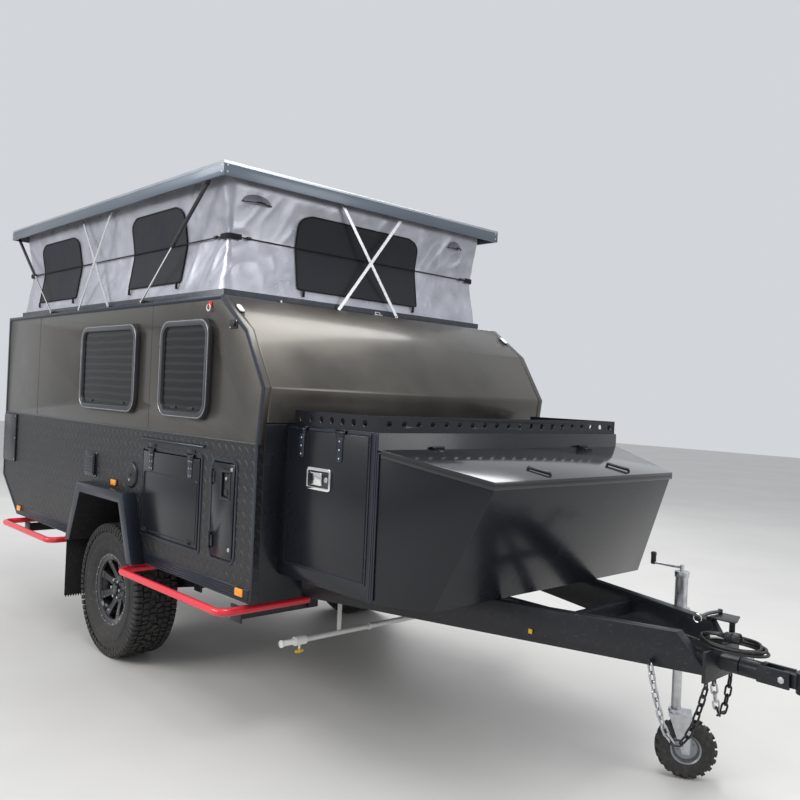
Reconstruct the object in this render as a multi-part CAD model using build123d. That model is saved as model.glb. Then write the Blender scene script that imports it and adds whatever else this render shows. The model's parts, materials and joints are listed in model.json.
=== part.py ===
from build123d import *
from math import asin, atan2, ceil, cos, degrees, hypot, pi, radians, sin, sqrt
import os

# Off-road camper trailer with a lifting roof. Millimetres, +X forward, +Z up from the floor.
# Places along X are counted forward from the axle line. The last step moves the whole trailer
# so that the origin lies under the middle of its overall length.

# Overall reach from the axle line
rear_reach = 2312
front_reach = 3720

# Wheels and tyres
tyre_radius = 402
tyre_width = 265
tread_depth = 14
lugs_per_side = 18
bead_radius = 206
rim_lip_radius = 222
wheel_face_y = 1050
spoke_count = 8

# Body shell
half_width = 1050
wall = 30
body_rear = -1955
body_top = 2126
skirt_bottom = 648
belt_height = 1399
rear_cut_height = 915
rear_cut_start = -1613
nose_top_x = 1189
nose_break = (1438, 1945)
nose_crease = (1605, 1672)
nose_face_x = 1572
box_top = 1499
floor_bottom = 780
floor_thickness = 40
gap = 5

# Wheel arch: half lengths and heights of the flare and of its opening
flare_top_half = 325
flare_bottom_half = 478
flare_top = 1030
flare_bottom = 648
flare_reach_y = 1130
arch_band = 50
liner_wall = 8
liner_inner_y = 737

# Lifting roof
roof_front = 1164
roof_rear = -1947
roof_half = 1059
roof_bottom = 2729
roof_depth = 73
roof_skin = 17
roof_skirt = 12
roof_travel = 590
deck_thickness = 8
deck_inner_y = 930
rail_rear = -1873
rail_front = 1090
rail_half = 985
rail_top = 2171
rail_wall = 8

# Tent between body and roof
tent_inset = 5
tent_waist = 45
tent_fabric = 4
tent_corner = 60

# Scissor arms and gas struts beside the tent
arm_length = 742
arm_width = 20
arm_thickness = 4
arm_plane_y = 1008
arm_low_z = body_top + 16
side_arm_x = -258
end_arm_y = 204
end_arm_x = (rail_front + 24, rail_rear - 24)
strut_plane_y = 1028
strut_drop = roof_travel
strut_reach = 719
strut_front_top_x = 963
strut_rear_top_x = -1887
strut_cylinder_radius = 11
strut_rod_radius = 5
strut_cylinder_length = 480
strut_pin_drop = roof_bottom + 3

# Chassis and drawbar, 150 by 50 box rails
rail_height = 150
rail_width = 50
chassis_top = floor_bottom
chassis_outer_y = 700
chassis_front = 1520
chassis_rear = -1560
drawbar_tip_x = 3345
drawbar_tip_half = 135
drawbar_spread = 0.31
drawbar_slope_start = 3230
head_plate_top = 722
head_plate_bottom = 600
head_plate_thickness = 15

# Side protection rails
side_rail_radius = 19
side_rail_y = 1170
side_rail_bend = 60
side_rail_spans = ((410, 1500), (-1530, -640))

# Front locker and tapered tool box
locker_half = 905
locker_front = 2247
locker_wall = 12
locker_door = (1610, 2195, 850, 1485)
gallery_height = 70
gallery_wall = 4
gallery_hole_radius = 15
tool_rear_half = 905
tool_front_half = 688
tool_front_x = 2708
tool_bottom_x = 2492
tool_rear_top = 1432
tool_front_top = 1334
tool_wall = 10
lid_thickness = 12
lid_lip = 34

# Jockey wheel
jockey_x = 3000
jockey_y = 300
jockey_radius = 135
jockey_width = 72
jockey_trail = 50
jockey_turn = 30
jockey_tube_radius = 28
jockey_leg_radius = 21
jockey_tube_bottom = 660
jockey_tube_top = 900
jockey_travel = 150

# Tow coupling
coupling_z = 665
coupling_pivot_x = 3590
coupling_bore_radius = 16
coupling_bore_x = 3675

# Stabiliser legs
leg_length = 430
leg_pivot_y = 600
leg_pivot_z = 575
leg_width = 60
leg_depth = 50
leg_pin_radius = 8
leg_stations = (1420, -1420)

pieces = {}


def block(x0, x1, y0, y1, z0, z1):
    """A box between two corners."""
    return Pos((x0 + x1) / 2, (y0 + y1) / 2, (z0 + z1) / 2) * Box(abs(x1 - x0), abs(y1 - y0), abs(z1 - z0))


def prism(points, push):
    """A closed outline of points in space, pushed along a vector."""
    return extrude(make_face(Polyline(*points, close=True)), amount=Vector(push).length, dir=push)


def side_plate(points, y0, y1):
    """An outline of (x, z) points made a plate from y0 to y1."""
    return prism([(x, y0, z) for x, z in points], (0, y1 - y0, 0))


def plan_plate(points, z0, z1):
    """An outline of (x, y) points made a plate from z0 to z1."""
    return prism([(x, y, z0) for x, y in points], (0, 0, z1 - z0))


def rod(start, end, radius):
    """A round bar from one point to another."""
    axis = Vector(end) - Vector(start)
    return extrude(Plane(origin=start, z_dir=axis) * Circle(radius), amount=axis.length)


def inset_path(points, depth):
    """An open path moved sideways to its right, with mitred corners."""
    normals = []
    for (x0, z0), (x1, z1) in zip(points, points[1:]):
        length = hypot(x1 - x0, z1 - z0)
        normals.append(((z1 - z0) / length, -(x1 - x0) / length))
    moved = []
    for i, (x, z) in enumerate(points):
        before = normals[max(i - 1, 0)]
        after = normals[min(i, len(normals) - 1)]
        scale = depth / (1 + before[0] * after[0] + before[1] * after[1])
        moved.append((x + (before[0] + after[0]) * scale, z + (before[1] + after[1]) * scale))
    return moved


def strip(points, depth):
    """The outline of a bent panel that is depth thick."""
    return points + inset_path(points, depth)[::-1]


def rounded_window(x0, x1, z0, z1, corner, y0, y1):
    """A rounded rectangle in a side wall, made a solid from y0 to y1."""
    face = Plane(origin=((x0 + x1) / 2, y0, (z0 + z1) / 2), x_dir=(1, 0, 0), z_dir=(0, -1, 0))
    return extrude(face * RectangleRounded(x1 - x0, z1 - z0, corner), amount=y1 - y0, dir=(0, 1, 0))


def both_sides(shape):
    """A shape and its mirror image on the other side of the trailer."""
    return [shape, mirror(shape, Plane.XZ)]


def keep(name, *shapes):
    """Files solids under the name of their node."""
    pieces.setdefault(name, []).extend(shapes)


# Openings: name: (x0, x1, z0, z1)
windows = {
    "rear": (-490, 300, 1490, 2010),
    "front": (592, 1115, 1490, 2010),
}
hatch = (415, 1055, 820, 1290)
service = (1178, 1388, 815, 1293)
entry = (470, 1120, 836, 2060)
entry_window = (560, 1030, 1500, 1960)
window_corner = 90


def trapezoid(half_top, top, half_bottom, bottom):
    """A wheel arch outline, open end down."""
    return [(-half_bottom, bottom), (-half_top, top), (half_top, top), (half_bottom, bottom)]


arch_opening = trapezoid(flare_top_half - arch_band + 10, flare_top - arch_band,
                         flare_bottom_half - arch_band, skirt_bottom - 1)


def side_walls():
    """Grey upper and black lower wall on each side, with windows, doors and wheel arch cut."""
    upper = [(body_rear, belt_height), (body_rear, body_top), (nose_top_x, body_top),
             nose_break, nose_crease, (nose_face_x, belt_height)]
    lower = [(body_rear, rear_cut_height), (body_rear, belt_height), (nose_face_x, belt_height),
             (nose_face_x, skirt_bottom), (rear_cut_start, skirt_bottom)]
    outer, inner = -half_width, -half_width + wall
    for side in ("right", "left"):
        top = side_plate(upper, outer, inner)
        base = side_plate(lower, outer, inner) - side_plate(arch_opening, outer - 1, inner + 1)
        openings = [windows["rear"]] + ([windows["front"]] if side == "right" else [])
        for x0, x1, z0, z1 in openings:
            top -= rounded_window(x0 + 30, x1 - 30, z0 + 30, z1 - 30, window_corner - 30, outer - 1, inner + 1)
        doors = [hatch, service] if side == "right" else [entry]
        for x0, x1, z0, z1 in doors:
            cut = block(x0, x1, outer - 1, inner + 1, z0, z1)
            top -= cut
            base -= cut
        if side == "left":
            top, base = mirror(top, Plane.XZ), mirror(base, Plane.XZ)
        keep(side + "_upper", top)
        keep(side + "_lower", base)


def end_walls():
    """Sloped nose panels, black front wall and rear wall with its departure cut, plus the floor."""
    inner = half_width - wall
    step = (nose_crease[0] - nose_face_x) * (box_top - belt_height) / (nose_crease[1] - belt_height)
    seam = (nose_face_x + step, box_top)
    outline = strip([seam, nose_crease, nose_break, (nose_top_x, body_top)][::-1], wall)
    flat = outline[len(outline) // 2]
    slope = (nose_break[0] - nose_top_x) / (body_top - nose_break[1])
    outline[-1] = (outline[-1][0] - slope * (body_top - outline[-1][1]), body_top)
    keep("nose_upper", side_plate(outline, -inner, inner))
    front = strip([seam, (nose_face_x, belt_height), (nose_face_x, skirt_bottom)], wall)
    notch = block(nose_face_x - 2 * wall, nose_face_x + wall, -760, 760, skirt_bottom - 1, floor_bottom + 6)
    keep("nose_lower", side_plate(front, -inner, inner) - notch)
    rear = strip([(rear_cut_start, skirt_bottom), (body_rear, rear_cut_height), (body_rear, body_top)], wall)
    keep("rear_wall", side_plate(rear, -inner, inner))
    slab = block(-1733, nose_face_x - wall, -inner, inner, floor_bottom, floor_bottom + floor_thickness)
    for well in both_sides(side_plate(arch_opening, -half_width, -liner_inner_y)):
        slab -= well
    keep("floor", slab)


def top_deck():
    """Deck flange inside the walls with an upstand that holds the tent."""
    inner = half_width - wall
    deck = block(body_rear + wall, 1137, -inner, inner, body_top - deck_thickness, body_top)
    deck -= block(rail_rear + 55, rail_front - 55, -deck_inner_y, deck_inner_y, body_top - 20, body_top + 1)
    upstand = block(rail_rear, rail_front, -rail_half, rail_half, body_top, rail_top)
    upstand -= block(rail_rear + rail_wall, rail_front - rail_wall, -rail_half + rail_wall,
                     rail_half - rail_wall, body_top - 1, rail_top + 1)
    deck += upstand
    for sign in (-1, 1):
        for x in (side_arm_x,):
            deck += rod((x, sign * rail_half, arm_low_z), (x, sign * (arm_plane_y + arm_thickness), arm_low_z), 4)
        for x in (strut_front_top_x - strut_reach, strut_rear_top_x + strut_reach):
            deck += block(x - 12, x + 12, sign * (rail_half - 1), sign * (strut_plane_y - 5.3), arm_low_z - 8, arm_low_z + 8)
    for end, sign in zip(end_arm_x, (1, -1)):
        start = rail_front if sign > 0 else rail_rear
        deck += rod((start, end_arm_y, arm_low_z), (end + sign * arm_thickness, end_arm_y, arm_low_z), 4)
    keep("top_deck", deck)


def arch_flares():
    """Wheel arch flare and liner on each side, with a mud flap behind the wheel."""
    band = trapezoid(flare_top_half, flare_top, flare_bottom_half, flare_bottom)
    flare = side_plate(band, -flare_reach_y, -half_width)
    liner = side_plate(arch_opening, -half_width - 1, -liner_inner_y)
    space = trapezoid(flare_top_half - arch_band + 10 - liner_wall, flare_top - arch_band - liner_wall,
                      flare_bottom_half - arch_band - liner_wall, skirt_bottom - 20)
    shell = flare + liner - side_plate(space, -flare_reach_y - 1, -liner_inner_y - liner_wall)
    flap_x = -flare_bottom_half + 18
    flap = block(flap_x, flap_x + 6, -flare_reach_y + 5, -800, 285, flare_bottom - 0.3)
    keep("arch_flares", *both_sides(shell), *both_sides(flap))


def window_set():
    """Protruding rounded window frames and their dark panes."""
    for name, sides in (("rear", ("right", "left")), ("front", ("right",))):
        x0, x1, z0, z1 = windows[name]
        outer = rounded_window(x0, x1, z0, z1, window_corner, -half_width - 26, -half_width)
        hole = rounded_window(x0 + 34, x1 - 34, z0 + 34, z1 - 34, window_corner - 34,
                              -half_width - 30, -half_width + wall)
        neck = rounded_window(x0 + 30.3, x1 - 30.3, z0 + 30.3, z1 - 30.3, window_corner - 30.3,
                              -half_width, -half_width + wall)
        frame = outer + neck - hole
        pane = rounded_window(x0 + 34, x1 - 34, z0 + 34, z1 - 34, window_corner - 34,
                              -half_width - 14, -half_width - 8)
        for side in sides:
            keep("window_frames", frame if side == "right" else mirror(frame, Plane.XZ))
            keep("window_panes", pane if side == "right" else mirror(pane, Plane.XZ))


def door_leaf(opening, y_out, y_in):
    """A door leaf that fills a wall opening with a gap all round."""
    x0, x1, z0, z1 = opening
    return block(x0 + gap, x1 - gap, y_out, y_in, z0 + gap, z1 - gap)


def doors():
    """Side hatch, service door and entry door."""
    face = -half_width - 6
    back = -half_width + wall - 6
    keep("side_hatch", door_leaf(hatch, face, back))
    recess = block(service[0] + 95, service[0] + 165, face - 1, face + 14, 1120, 1245)
    keep("service_door", door_leaf(service, face, back) - recess)
    leaf = door_leaf(entry, face, back)
    x0, x1, z0, z1 = entry_window
    leaf -= rounded_window(x0 + 30, x1 - 30, z0 + 30, z1 - 30, window_corner - 30, face - 1, back + 1)
    ring = rounded_window(x0, x1, z0, z1, window_corner, face - 18, face)
    ring -= rounded_window(x0 + 30, x1 - 30, z0 + 30, z1 - 30, window_corner - 30, face - 20, face + 1)
    leaf += ring
    pane = rounded_window(x0 + 30.3, x1 - 30.3, z0 + 30.3, z1 - 30.3, window_corner - 30.3, face - 6, face)
    keep("entry_door", mirror(leaf, Plane.XZ))
    keep("entry_door_pane", mirror(pane, Plane.XZ))


def roof():
    """Shallow pan roof, open underneath."""
    top = roof_bottom + roof_depth
    lid = block(roof_rear, roof_front, -roof_half, roof_half, roof_bottom, top)
    lid -= block(roof_rear + roof_skirt, roof_front - roof_skirt, -roof_half + roof_skirt,
                 roof_half - roof_skirt, roof_bottom - 1, top - roof_skin)
    for sign in (-1, 1):
        for x in (strut_front_top_x, strut_rear_top_x):
            lid += rod((x, sign * (roof_half - roof_skirt), strut_pin_drop),
                       (x, sign * (strut_plane_y - 6), strut_pin_drop), 3.5)
    keep("roof_lid", lid)


def tent():
    """Closed fabric wall with a drawn-in waist, from the deck upstand to the roof."""
    levels = ((rail_top, 0), ((rail_top + roof_bottom) / 2, tent_waist), (roof_bottom + roof_depth - roof_skin - 1, 0))
    centre_x = (rail_rear + rail_front) / 2

    def stack(inset):
        faces = []
        for z, waist in levels:
            length = rail_front - rail_rear - 2 * (tent_inset + inset + waist)
            width = 2 * (rail_half - tent_inset - inset - waist)
            faces.append(Pos(centre_x, 0, z) * RectangleRounded(length, width, tent_corner))
        lower = loft([faces[0], faces[1]], ruled=True)
        upper = loft([faces[1], faces[2]], ruled=True)
        return lower + upper

    keep("tent", stack(0) - stack(tent_fabric))


def scissor_arms():
    """Flat crossed arms that steady the tent, in pairs at the sides and at the ends."""
    rise = degrees(asin(roof_travel / arm_length))
    run = arm_length * cos(radians(rise))
    bar = Pos(arm_length / 2, 0, 0) * Box(arm_length + arm_width, arm_width, arm_thickness)
    holed = bar - Cylinder(4.4, 3 * arm_thickness)
    crossing = arm_length / 2

    def side_bar(sign, layer, first):
        y = sign * (arm_plane_y + layer)
        if first:
            place = Plane(origin=(side_arm_x, y, arm_low_z), x_dir=(-cos(radians(rise)), 0, sin(radians(rise))),
                          z_dir=(0, sign, 0))
            return place * (Pos(0, 0, arm_thickness / 2) * holed)
        place = Plane(origin=(side_arm_x - run, y, arm_low_z), x_dir=(cos(radians(rise)), 0, sin(radians(rise))),
                      z_dir=(0, sign, 0))
        return place * (Pos(0, 0, arm_thickness / 2) * bar)

    def end_bar(x, sign, layer, first):
        if first:
            place = Plane(origin=(x + sign * layer, end_arm_y, arm_low_z),
                          x_dir=(0, -cos(radians(rise)), sin(radians(rise))), z_dir=(sign, 0, 0))
            return place * (Pos(0, 0, arm_thickness / 2) * holed)
        place = Plane(origin=(x + sign * layer, end_arm_y - run, arm_low_z),
                      x_dir=(0, cos(radians(rise)), sin(radians(rise))), z_dir=(sign, 0, 0))
        return place * (Pos(0, 0, arm_thickness / 2) * bar)

    for sign in (-1, 1):
        keep("side_arms_a", side_bar(sign, 0, True))
        keep("side_arms_b", side_bar(sign, arm_thickness + 1, False))
    for x, sign in zip(end_arm_x, (1, -1)):
        keep("end_arms_a", end_bar(x, sign, 0, True))
        keep("end_arms_b", end_bar(x, sign, arm_thickness + 1, False))


def gas_struts():
    """Four gas struts: hollow cylinders hung on the roof, rods reaching down to the deck."""
    length = hypot(strut_reach, strut_drop)
    for name, x_top, way in (("front", strut_front_top_x, -1), ("rear", strut_rear_top_x, 1)):
        for sign in (-1, 1):
            y = sign * strut_plane_y
            top = Vector(x_top, y, strut_pin_drop)
            down = Vector(way * strut_reach, 0, -strut_drop).normalized()
            start = top + down * 14
            body = rod(start, top + down * strut_cylinder_length, strut_cylinder_radius)
            body -= rod(start + down * 30, top + down * (strut_cylinder_length + 1), strut_rod_radius + 1)
            eye = rod(top - Vector(0, 5, 0), top + Vector(0, 5, 0), 10) + rod(top + down * 8, start + down, 6)
            eye -= rod(top - Vector(0, 9, 0), top + Vector(0, 9, 0), 4)
            keep("strut_cylinders_" + name, body + eye)
            foot = top + down * length
            rod_part = rod(top + down * (strut_cylinder_length - 50), foot - down * 8, strut_rod_radius)
            rod_part += rod(foot - Vector(0, 5, 0), foot + Vector(0, 5, 0), 9)
            keep("strut_rods_" + name, rod_part)


def chassis():
    """Two long rails with cross members, suspension hangers and leg brackets."""
    inner = chassis_outer_y - rail_width
    low = chassis_top - rail_height
    frame = block(chassis_rear, chassis_front, inner, chassis_outer_y, low, chassis_top)
    frame += mirror(frame, Plane.XZ)
    for x in (chassis_rear + 25, *leg_stations, -800, 200, chassis_front - 25):
        frame += block(x - 25, x + 25, -inner - 1, inner + 1, chassis_top - 100, chassis_top)
    for x in leg_stations:
        for sign in (-1, 1):
            for edge in (-1, 1):
                a, b = sorted((x + edge * (leg_width / 2 + 3), x + edge * (leg_width / 2 + 11)))
                frame += block(a, b, sign * leg_pivot_y - 30, sign * leg_pivot_y + 30,
                               leg_pivot_z - 22, chassis_top - 60)
            frame += rod((x - leg_width / 2 - 8, sign * leg_pivot_y, leg_pivot_z),
                         (x + leg_width / 2 + 8, sign * leg_pivot_y, leg_pivot_z), leg_pin_radius)
    for sign in (-1, 1):
        for y in (sign * 650, sign * 750):
            frame += block(520, 600, y - 4, y + 4, 470, low + 1)
        a, b = sorted((sign * 646, sign * 754))
        frame += block(500, 620, a, b, low - 8, low + 1)
    keep("chassis", frame)


def stabiliser_legs():
    """Four drop-down legs, stowed flat across the frame, each with a foot plate."""
    for x, name in zip(leg_stations, ("front", "rear")):
        for sign, side in ((-1, "right"), (1, "left")):
            tip = leg_pivot_y + leg_length
            y0, y1 = sorted((sign * (leg_pivot_y - 24), sign * tip))
            leg = block(x - leg_width / 2, x + leg_width / 2, y0, y1,
                        leg_pivot_z - leg_depth / 2, leg_pivot_z + leg_depth / 2)
            leg -= rod((x - leg_width, sign * leg_pivot_y, leg_pivot_z),
                       (x + leg_width, sign * leg_pivot_y, leg_pivot_z), leg_pin_radius + 0.05)
            f0, f1 = sorted((sign * tip, sign * (tip + 8)))
            leg += block(x - 48, x + 48, f0, f1, leg_pivot_z - 40, leg_pivot_z + 40)
            keep("leg_" + name + "_" + side, leg)


def drawbar_y(x):
    """Outer face of the drawbar rail at a place along X."""
    return drawbar_tip_half + drawbar_spread * (drawbar_tip_x - x)


def drawbar():
    """A-frame drawbar with centre rail, cross piece, head plate and the coupling's spindle."""
    low = chassis_top - rail_height
    tip = drawbar_tip_x - head_plate_thickness
    across = rail_width * sqrt(1 + drawbar_spread ** 2)
    rail = plan_plate([(chassis_front, drawbar_y(chassis_front)), (tip, drawbar_y(tip)),
                       (tip, drawbar_y(tip) - across), (chassis_front, drawbar_y(chassis_front) - across)],
                      low, chassis_top)
    cut = side_plate([(drawbar_slope_start, chassis_top + 1), (drawbar_tip_x + 50, chassis_top + 1),
                      (drawbar_tip_x + 50, low + 30), (tip + 2, low + 30), (drawbar_slope_start, chassis_top)],
                     -500, 500)
    frame = rail + mirror(rail, Plane.XZ) - cut
    frame += block(chassis_front, tip + 1, -20, 20, 640, 690)
    for x, half in ((1535, drawbar_y(1560) - 10), (2740, drawbar_y(2780) - 10)):
        frame += block(x, x + 40, -half, half, 690, 750)
    frame += block(tip, drawbar_tip_x, -drawbar_tip_half - 8, drawbar_tip_half + 8, head_plate_bottom, head_plate_top)
    frame += rod((drawbar_tip_x - 5, 0, coupling_z), (3475, 0, coupling_z), 24)
    frame += rod((drawbar_tip_x - 5, 0, coupling_z), (3420, 0, coupling_z), 36)
    frame += block(3000, 3036, -14, 14, 689, 718)
    keep("drawbar", frame)


def coupling():
    """Turning yoke on the drawbar spindle, and the hitch head on the yoke's cross pin."""
    yoke = rod((3424, 0, coupling_z), (3510, 0, coupling_z), 36)
    yoke -= rod((3400, 0, coupling_z), (3480, 0, coupling_z), 24.08)
    for sign in (-1, 1):
        y0, y1 = sorted((sign * 25, sign * 37))
        yoke += block(3495, coupling_pivot_x + 26, y0, y1, coupling_z - 32, coupling_z + 32)
    yoke += block(3495, 3515, -30, 30, coupling_z - 32, coupling_z + 32)
    yoke += rod((coupling_pivot_x, -42, coupling_z), (coupling_pivot_x, 42, coupling_z), 11)
    keep("coupling_yoke", yoke)
    head = rod((coupling_pivot_x, -24, coupling_z), (coupling_pivot_x, 24, coupling_z), 26)
    head += block(coupling_pivot_x, front_reach - 45, -24, 24, coupling_z - 26, coupling_z + 26)
    head += rod((coupling_bore_x, 0, coupling_z - 38), (coupling_bore_x, 0, coupling_z + 38), front_reach - coupling_bore_x)
    head -= rod((coupling_bore_x, 0, coupling_z - 40), (coupling_bore_x, 0, coupling_z + 40), coupling_bore_radius)
    head -= rod((coupling_pivot_x, -30, coupling_z), (coupling_pivot_x, 30, coupling_z), 11.06)
    keep("coupling_head", head)


def bent_tube(points, radius, bend):
    """A round tube along a path with rounded corners."""
    path = FilletPolyline(*points, radius=bend)
    first = Vector(points[1]) - Vector(points[0])
    return sweep(Plane(origin=points[0], z_dir=first) * Circle(radius), path=path)


def side_rails():
    """Red tube rails beside the wheels, with legs that turn in under the chassis."""
    z = chassis_top - rail_height - side_rail_radius
    inner = chassis_outer_y - 35
    for rear, front in side_rail_spans:
        path = [(rear, -inner, z), (rear, -side_rail_y, z), (front, -side_rail_y, z), (front, -inner, z)]
        keep("side_rails", *both_sides(bent_tube(path, side_rail_radius, side_rail_bend)))


def front_locker():
    """Hollow locker across the nose, a door in each side and a pierced gallery rail on top."""
    back = nose_face_x + 0.5
    shell = block(back, locker_front, -locker_half, locker_half, chassis_top, box_top)
    shell -= block(back + locker_wall, locker_front - locker_wall, -locker_half + locker_wall,
                   locker_half - locker_wall, chassis_top + locker_wall, box_top - locker_wall)
    x0, x1, z0, z1 = locker_door
    shell -= block(x0, x1, -locker_half - 1, locker_half + 1, z0, z1)
    back_slope = side_plate([(nose_face_x - 60, belt_height), (nose_face_x + 0.5, belt_height),
                             (nose_face_x + 13, box_top + 1), (nose_face_x - 60, box_top + 1)],
                            -locker_half - 1, locker_half + 1)
    keep("front_locker", shell - back_slope)
    leaf = block(x0 + gap, x1 - gap, -locker_half - 6, -locker_half + 12, z0 + gap, z1 - gap)
    keep("locker_door_right", leaf)
    keep("locker_door_left", mirror(leaf, Plane.XZ))
    rail_x0 = 1640
    low, high = box_top, box_top + gallery_height
    gallery = block(rail_x0, locker_front - 8, -locker_half + 8, locker_half - 8, low, high)
    gallery -= block(rail_x0 - 1, locker_front - 8 - gallery_wall, -locker_half + 8 + gallery_wall,
                     locker_half - 8 - gallery_wall, low - 1, high + 1)
    hole_z = (low + high) / 2
    for i in range(7):
        x = 1690 + 76 * i
        gallery -= rod((x, -locker_half - 5, hole_z), (x, locker_half + 5, hole_z), gallery_hole_radius)
    for i in range(20):
        y = -840 + i * 1680 / 19
        gallery -= rod((locker_front - 40, y, hole_z), (locker_front + 5, y, hole_z), gallery_hole_radius)
    keep("gallery_rail", gallery)


def tool_body(inset, top_cut):
    """The tapered tool box as a solid, drawn in by a wall thickness."""
    back = locker_front + 0.5 + inset
    front = tool_front_x - inset
    low = chassis_top + inset
    taper = (tool_rear_half - tool_front_half) / (tool_front_x - locker_front)
    plan = [(back, -tool_rear_half + inset), (front, -tool_front_half + inset - taper * inset),
            (front, tool_front_half - inset + taper * inset), (back, tool_rear_half - inset)]
    body = plan_plate(plan, low, tool_rear_top + 60)
    slope = (tool_rear_top - tool_front_top) / (tool_front_x - locker_front)
    rise = top_cut
    profile = [(back - 1, low - 1), (tool_bottom_x - inset, low - 1), (front, tool_front_top - lid_lip),
               (front, tool_front_top + rise), (back - 1, tool_front_top + rise + slope * (front - back))]
    return body & side_plate(profile, -half_width, half_width)


def tool_box():
    """Tapered tool box on the drawbar with a sloping lid hinged at its rear edge."""
    shell = tool_body(0, -lid_thickness - 1) - tool_body(tool_wall, 80)
    keep("tool_box", shell)
    slope = (tool_rear_top - tool_front_top) / (tool_front_x - locker_front)
    over = 8
    x0, x1 = locker_front + 18, tool_front_x + over
    z0 = tool_rear_top - slope * (x0 - locker_front)
    z1 = tool_rear_top - slope * (x1 - locker_front)
    half0 = tool_rear_half + over - (tool_rear_half - tool_front_half) * (x0 - locker_front) / (tool_front_x - locker_front)
    half1 = tool_front_half + over
    plan = [(x0, -half0), (x1, -half1), (x1, half1), (x0, half0)]
    slab = plan_plate(plan, z1 - 60, z0 + 5)
    slab = slab & side_plate([(x0, z0), (x1, z1), (x1, z1 - lid_lip), (x0, z0 - lid_lip)], -half_width, half_width)
    t = over - 5
    inner_plan = [(x0 - 1, -half0 + t), (x1 - t, -half1 + t), (x1 - t, half1 - t), (x0 - 1, half0 - t)]
    hollow = plan_plate(inner_plan, z1 - 70, z0 + 5)
    hollow = hollow & side_plate([(x0 - 2, z0 - lid_thickness), (x1, z1 - lid_thickness),
                                  (x1, z1 - lid_lip - 5), (x0 - 2, z0 - lid_lip - 5)], -half_width, half_width)
    keep("tool_box_lid", slab - hollow)


def suspension():
    """Trailing arms on the chassis hangers with stub axles, air springs and shock absorbers."""
    low = chassis_top - rail_height
    inner = chassis_outer_y - rail_width
    for sign in (-1, 1):
        y0, y1 = sorted((sign * 660, sign * 740))
        arm = prism([(0, y0, tyre_radius - 28), (0, y0, tyre_radius + 28), (560, y0, 545), (560, y0, 495)], (0, y1 - y0, 0))
        arm += rod((560, y0, 520), (560, y1, 520), 34)
        arm += rod((0, sign * 662, tyre_radius), (0, sign * 738, tyre_radius), 44)
        arm += rod((0, sign * 700, tyre_radius), (0, sign * 905, tyre_radius), 22)
        keep("suspension", arm)
        seat = tyre_radius + 28 + 0.2 * 150 + 6
        spring = rod((150, sign * 690, seat), (150, sign * 690, low), 30)
        for i in range(3):
            z = seat + 24 + i * (low - seat - 48) / 2
            ring = revolve(Pos(150, sign * 690, z) * (Plane.XZ * (Pos(32, 0) * Circle(22))),
                           Axis((150, sign * 690, z), (0, 0, 1)))
            spring += ring
        keep("suspension", spring)
        damper = rod((60, sign * 625, 430), (345, sign * 625, 665), 16)
        damper += rod((155, sign * 625, 508), (335, sign * 625, 657), 24)
        damper += rod((345, sign * 600, 665), (345, sign * inner, 665), 12)
        damper += rod((60, sign * 600, 430), (60, sign * 659, 430), 12)
        keep("suspension", damper)


def tyre_shape():
    """Off-road tyre round the Y axis with shoulder lugs, axle at the origin."""
    half = tyre_width / 2
    base = tyre_radius - tread_depth
    profile = [(bead_radius, 92), (bead_radius + 30, 112), (bead_radius + 90, half), (base - 30, half - 4),
               (base, half - 22)]
    outline = [(r, y) for r, y in profile] + [(r, -y) for r, y in reversed(profile)]
    inner = [(bead_radius, -76), (base - 60, -half + 26), (base - 16, -60), (base - 16, 60), (base - 60, half - 26),
             (bead_radius, 76)]
    ring = make_face(Polyline(*[(r, y, 0) for r, y in outline + inner], close=True))
    tyre = revolve(ring, Axis.Y)
    for side in (-1, 1):
        for i in range(lugs_per_side):
            angle = (i + (0.5 if side > 0 else 0)) * 360 / lugs_per_side
            block_lug = Pos(tyre_radius - 22, side * (half - 40), 0) * Box(44, 78, 62)
            tyre += Rot(0, angle, 0) * block_lug
    return tyre


def rim_shape():
    """Spoked rim round the Y axis, outer face towards minus Y, axle at the origin."""
    half = tyre_width / 2
    lip = rim_lip_radius
    barrel_outline = [(lip, -111), (lip, -103.6), (bead_radius - 0.3, -92.4), (bead_radius - 0.3, 92.4), (lip, 103.6),
                      (lip, 111), (bead_radius - 12, 104), (bead_radius - 12, -104)]
    barrel = revolve(make_face(Polyline(*[(r, y, 0) for r, y in barrel_outline], close=True)), Axis.Y)
    disc_y = -78
    disc = rod((0, disc_y - 10, 0), (0, disc_y + 10, 0), bead_radius - 10)
    for i in range(spoke_count):
        window = extrude(Plane.XZ * make_face(Polyline((72, 10), (172, 34), (172, -34), (72, -10), close=True)), amount=60, both=True)
        disc -= Rot(0, (i + 0.5) * 360 / spoke_count, 0) * (Pos(0, disc_y, 0) * window)
    hub = rod((0, disc_y - 24, 0), (0, disc_y + 60, 0), 56)
    hub -= rod((0, disc_y - 6, 0), (0, disc_y + 61, 0), 27)
    return barrel + disc + hub


def wheels():
    """Two road wheels and the spare behind."""
    tyre, rim = tyre_shape(), rim_shape()
    centre = wheel_face_y - tyre_width / 2
    for side, sign, turn in (("right", -1, 0), ("left", 1, 180)):
        place = Pos(0, sign * centre, tyre_radius) * Rot(0, 0, turn)
        keep("tyre_" + side, place * tyre)
        keep("rim_" + side, place * rim)
    spare = Pos(-rear_reach + tyre_width / 2, 0, 1230) * Rot(0, 0, -90)
    keep("spare_tyre", spare * tyre)
    keep("spare_rim", spare * rim)


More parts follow.
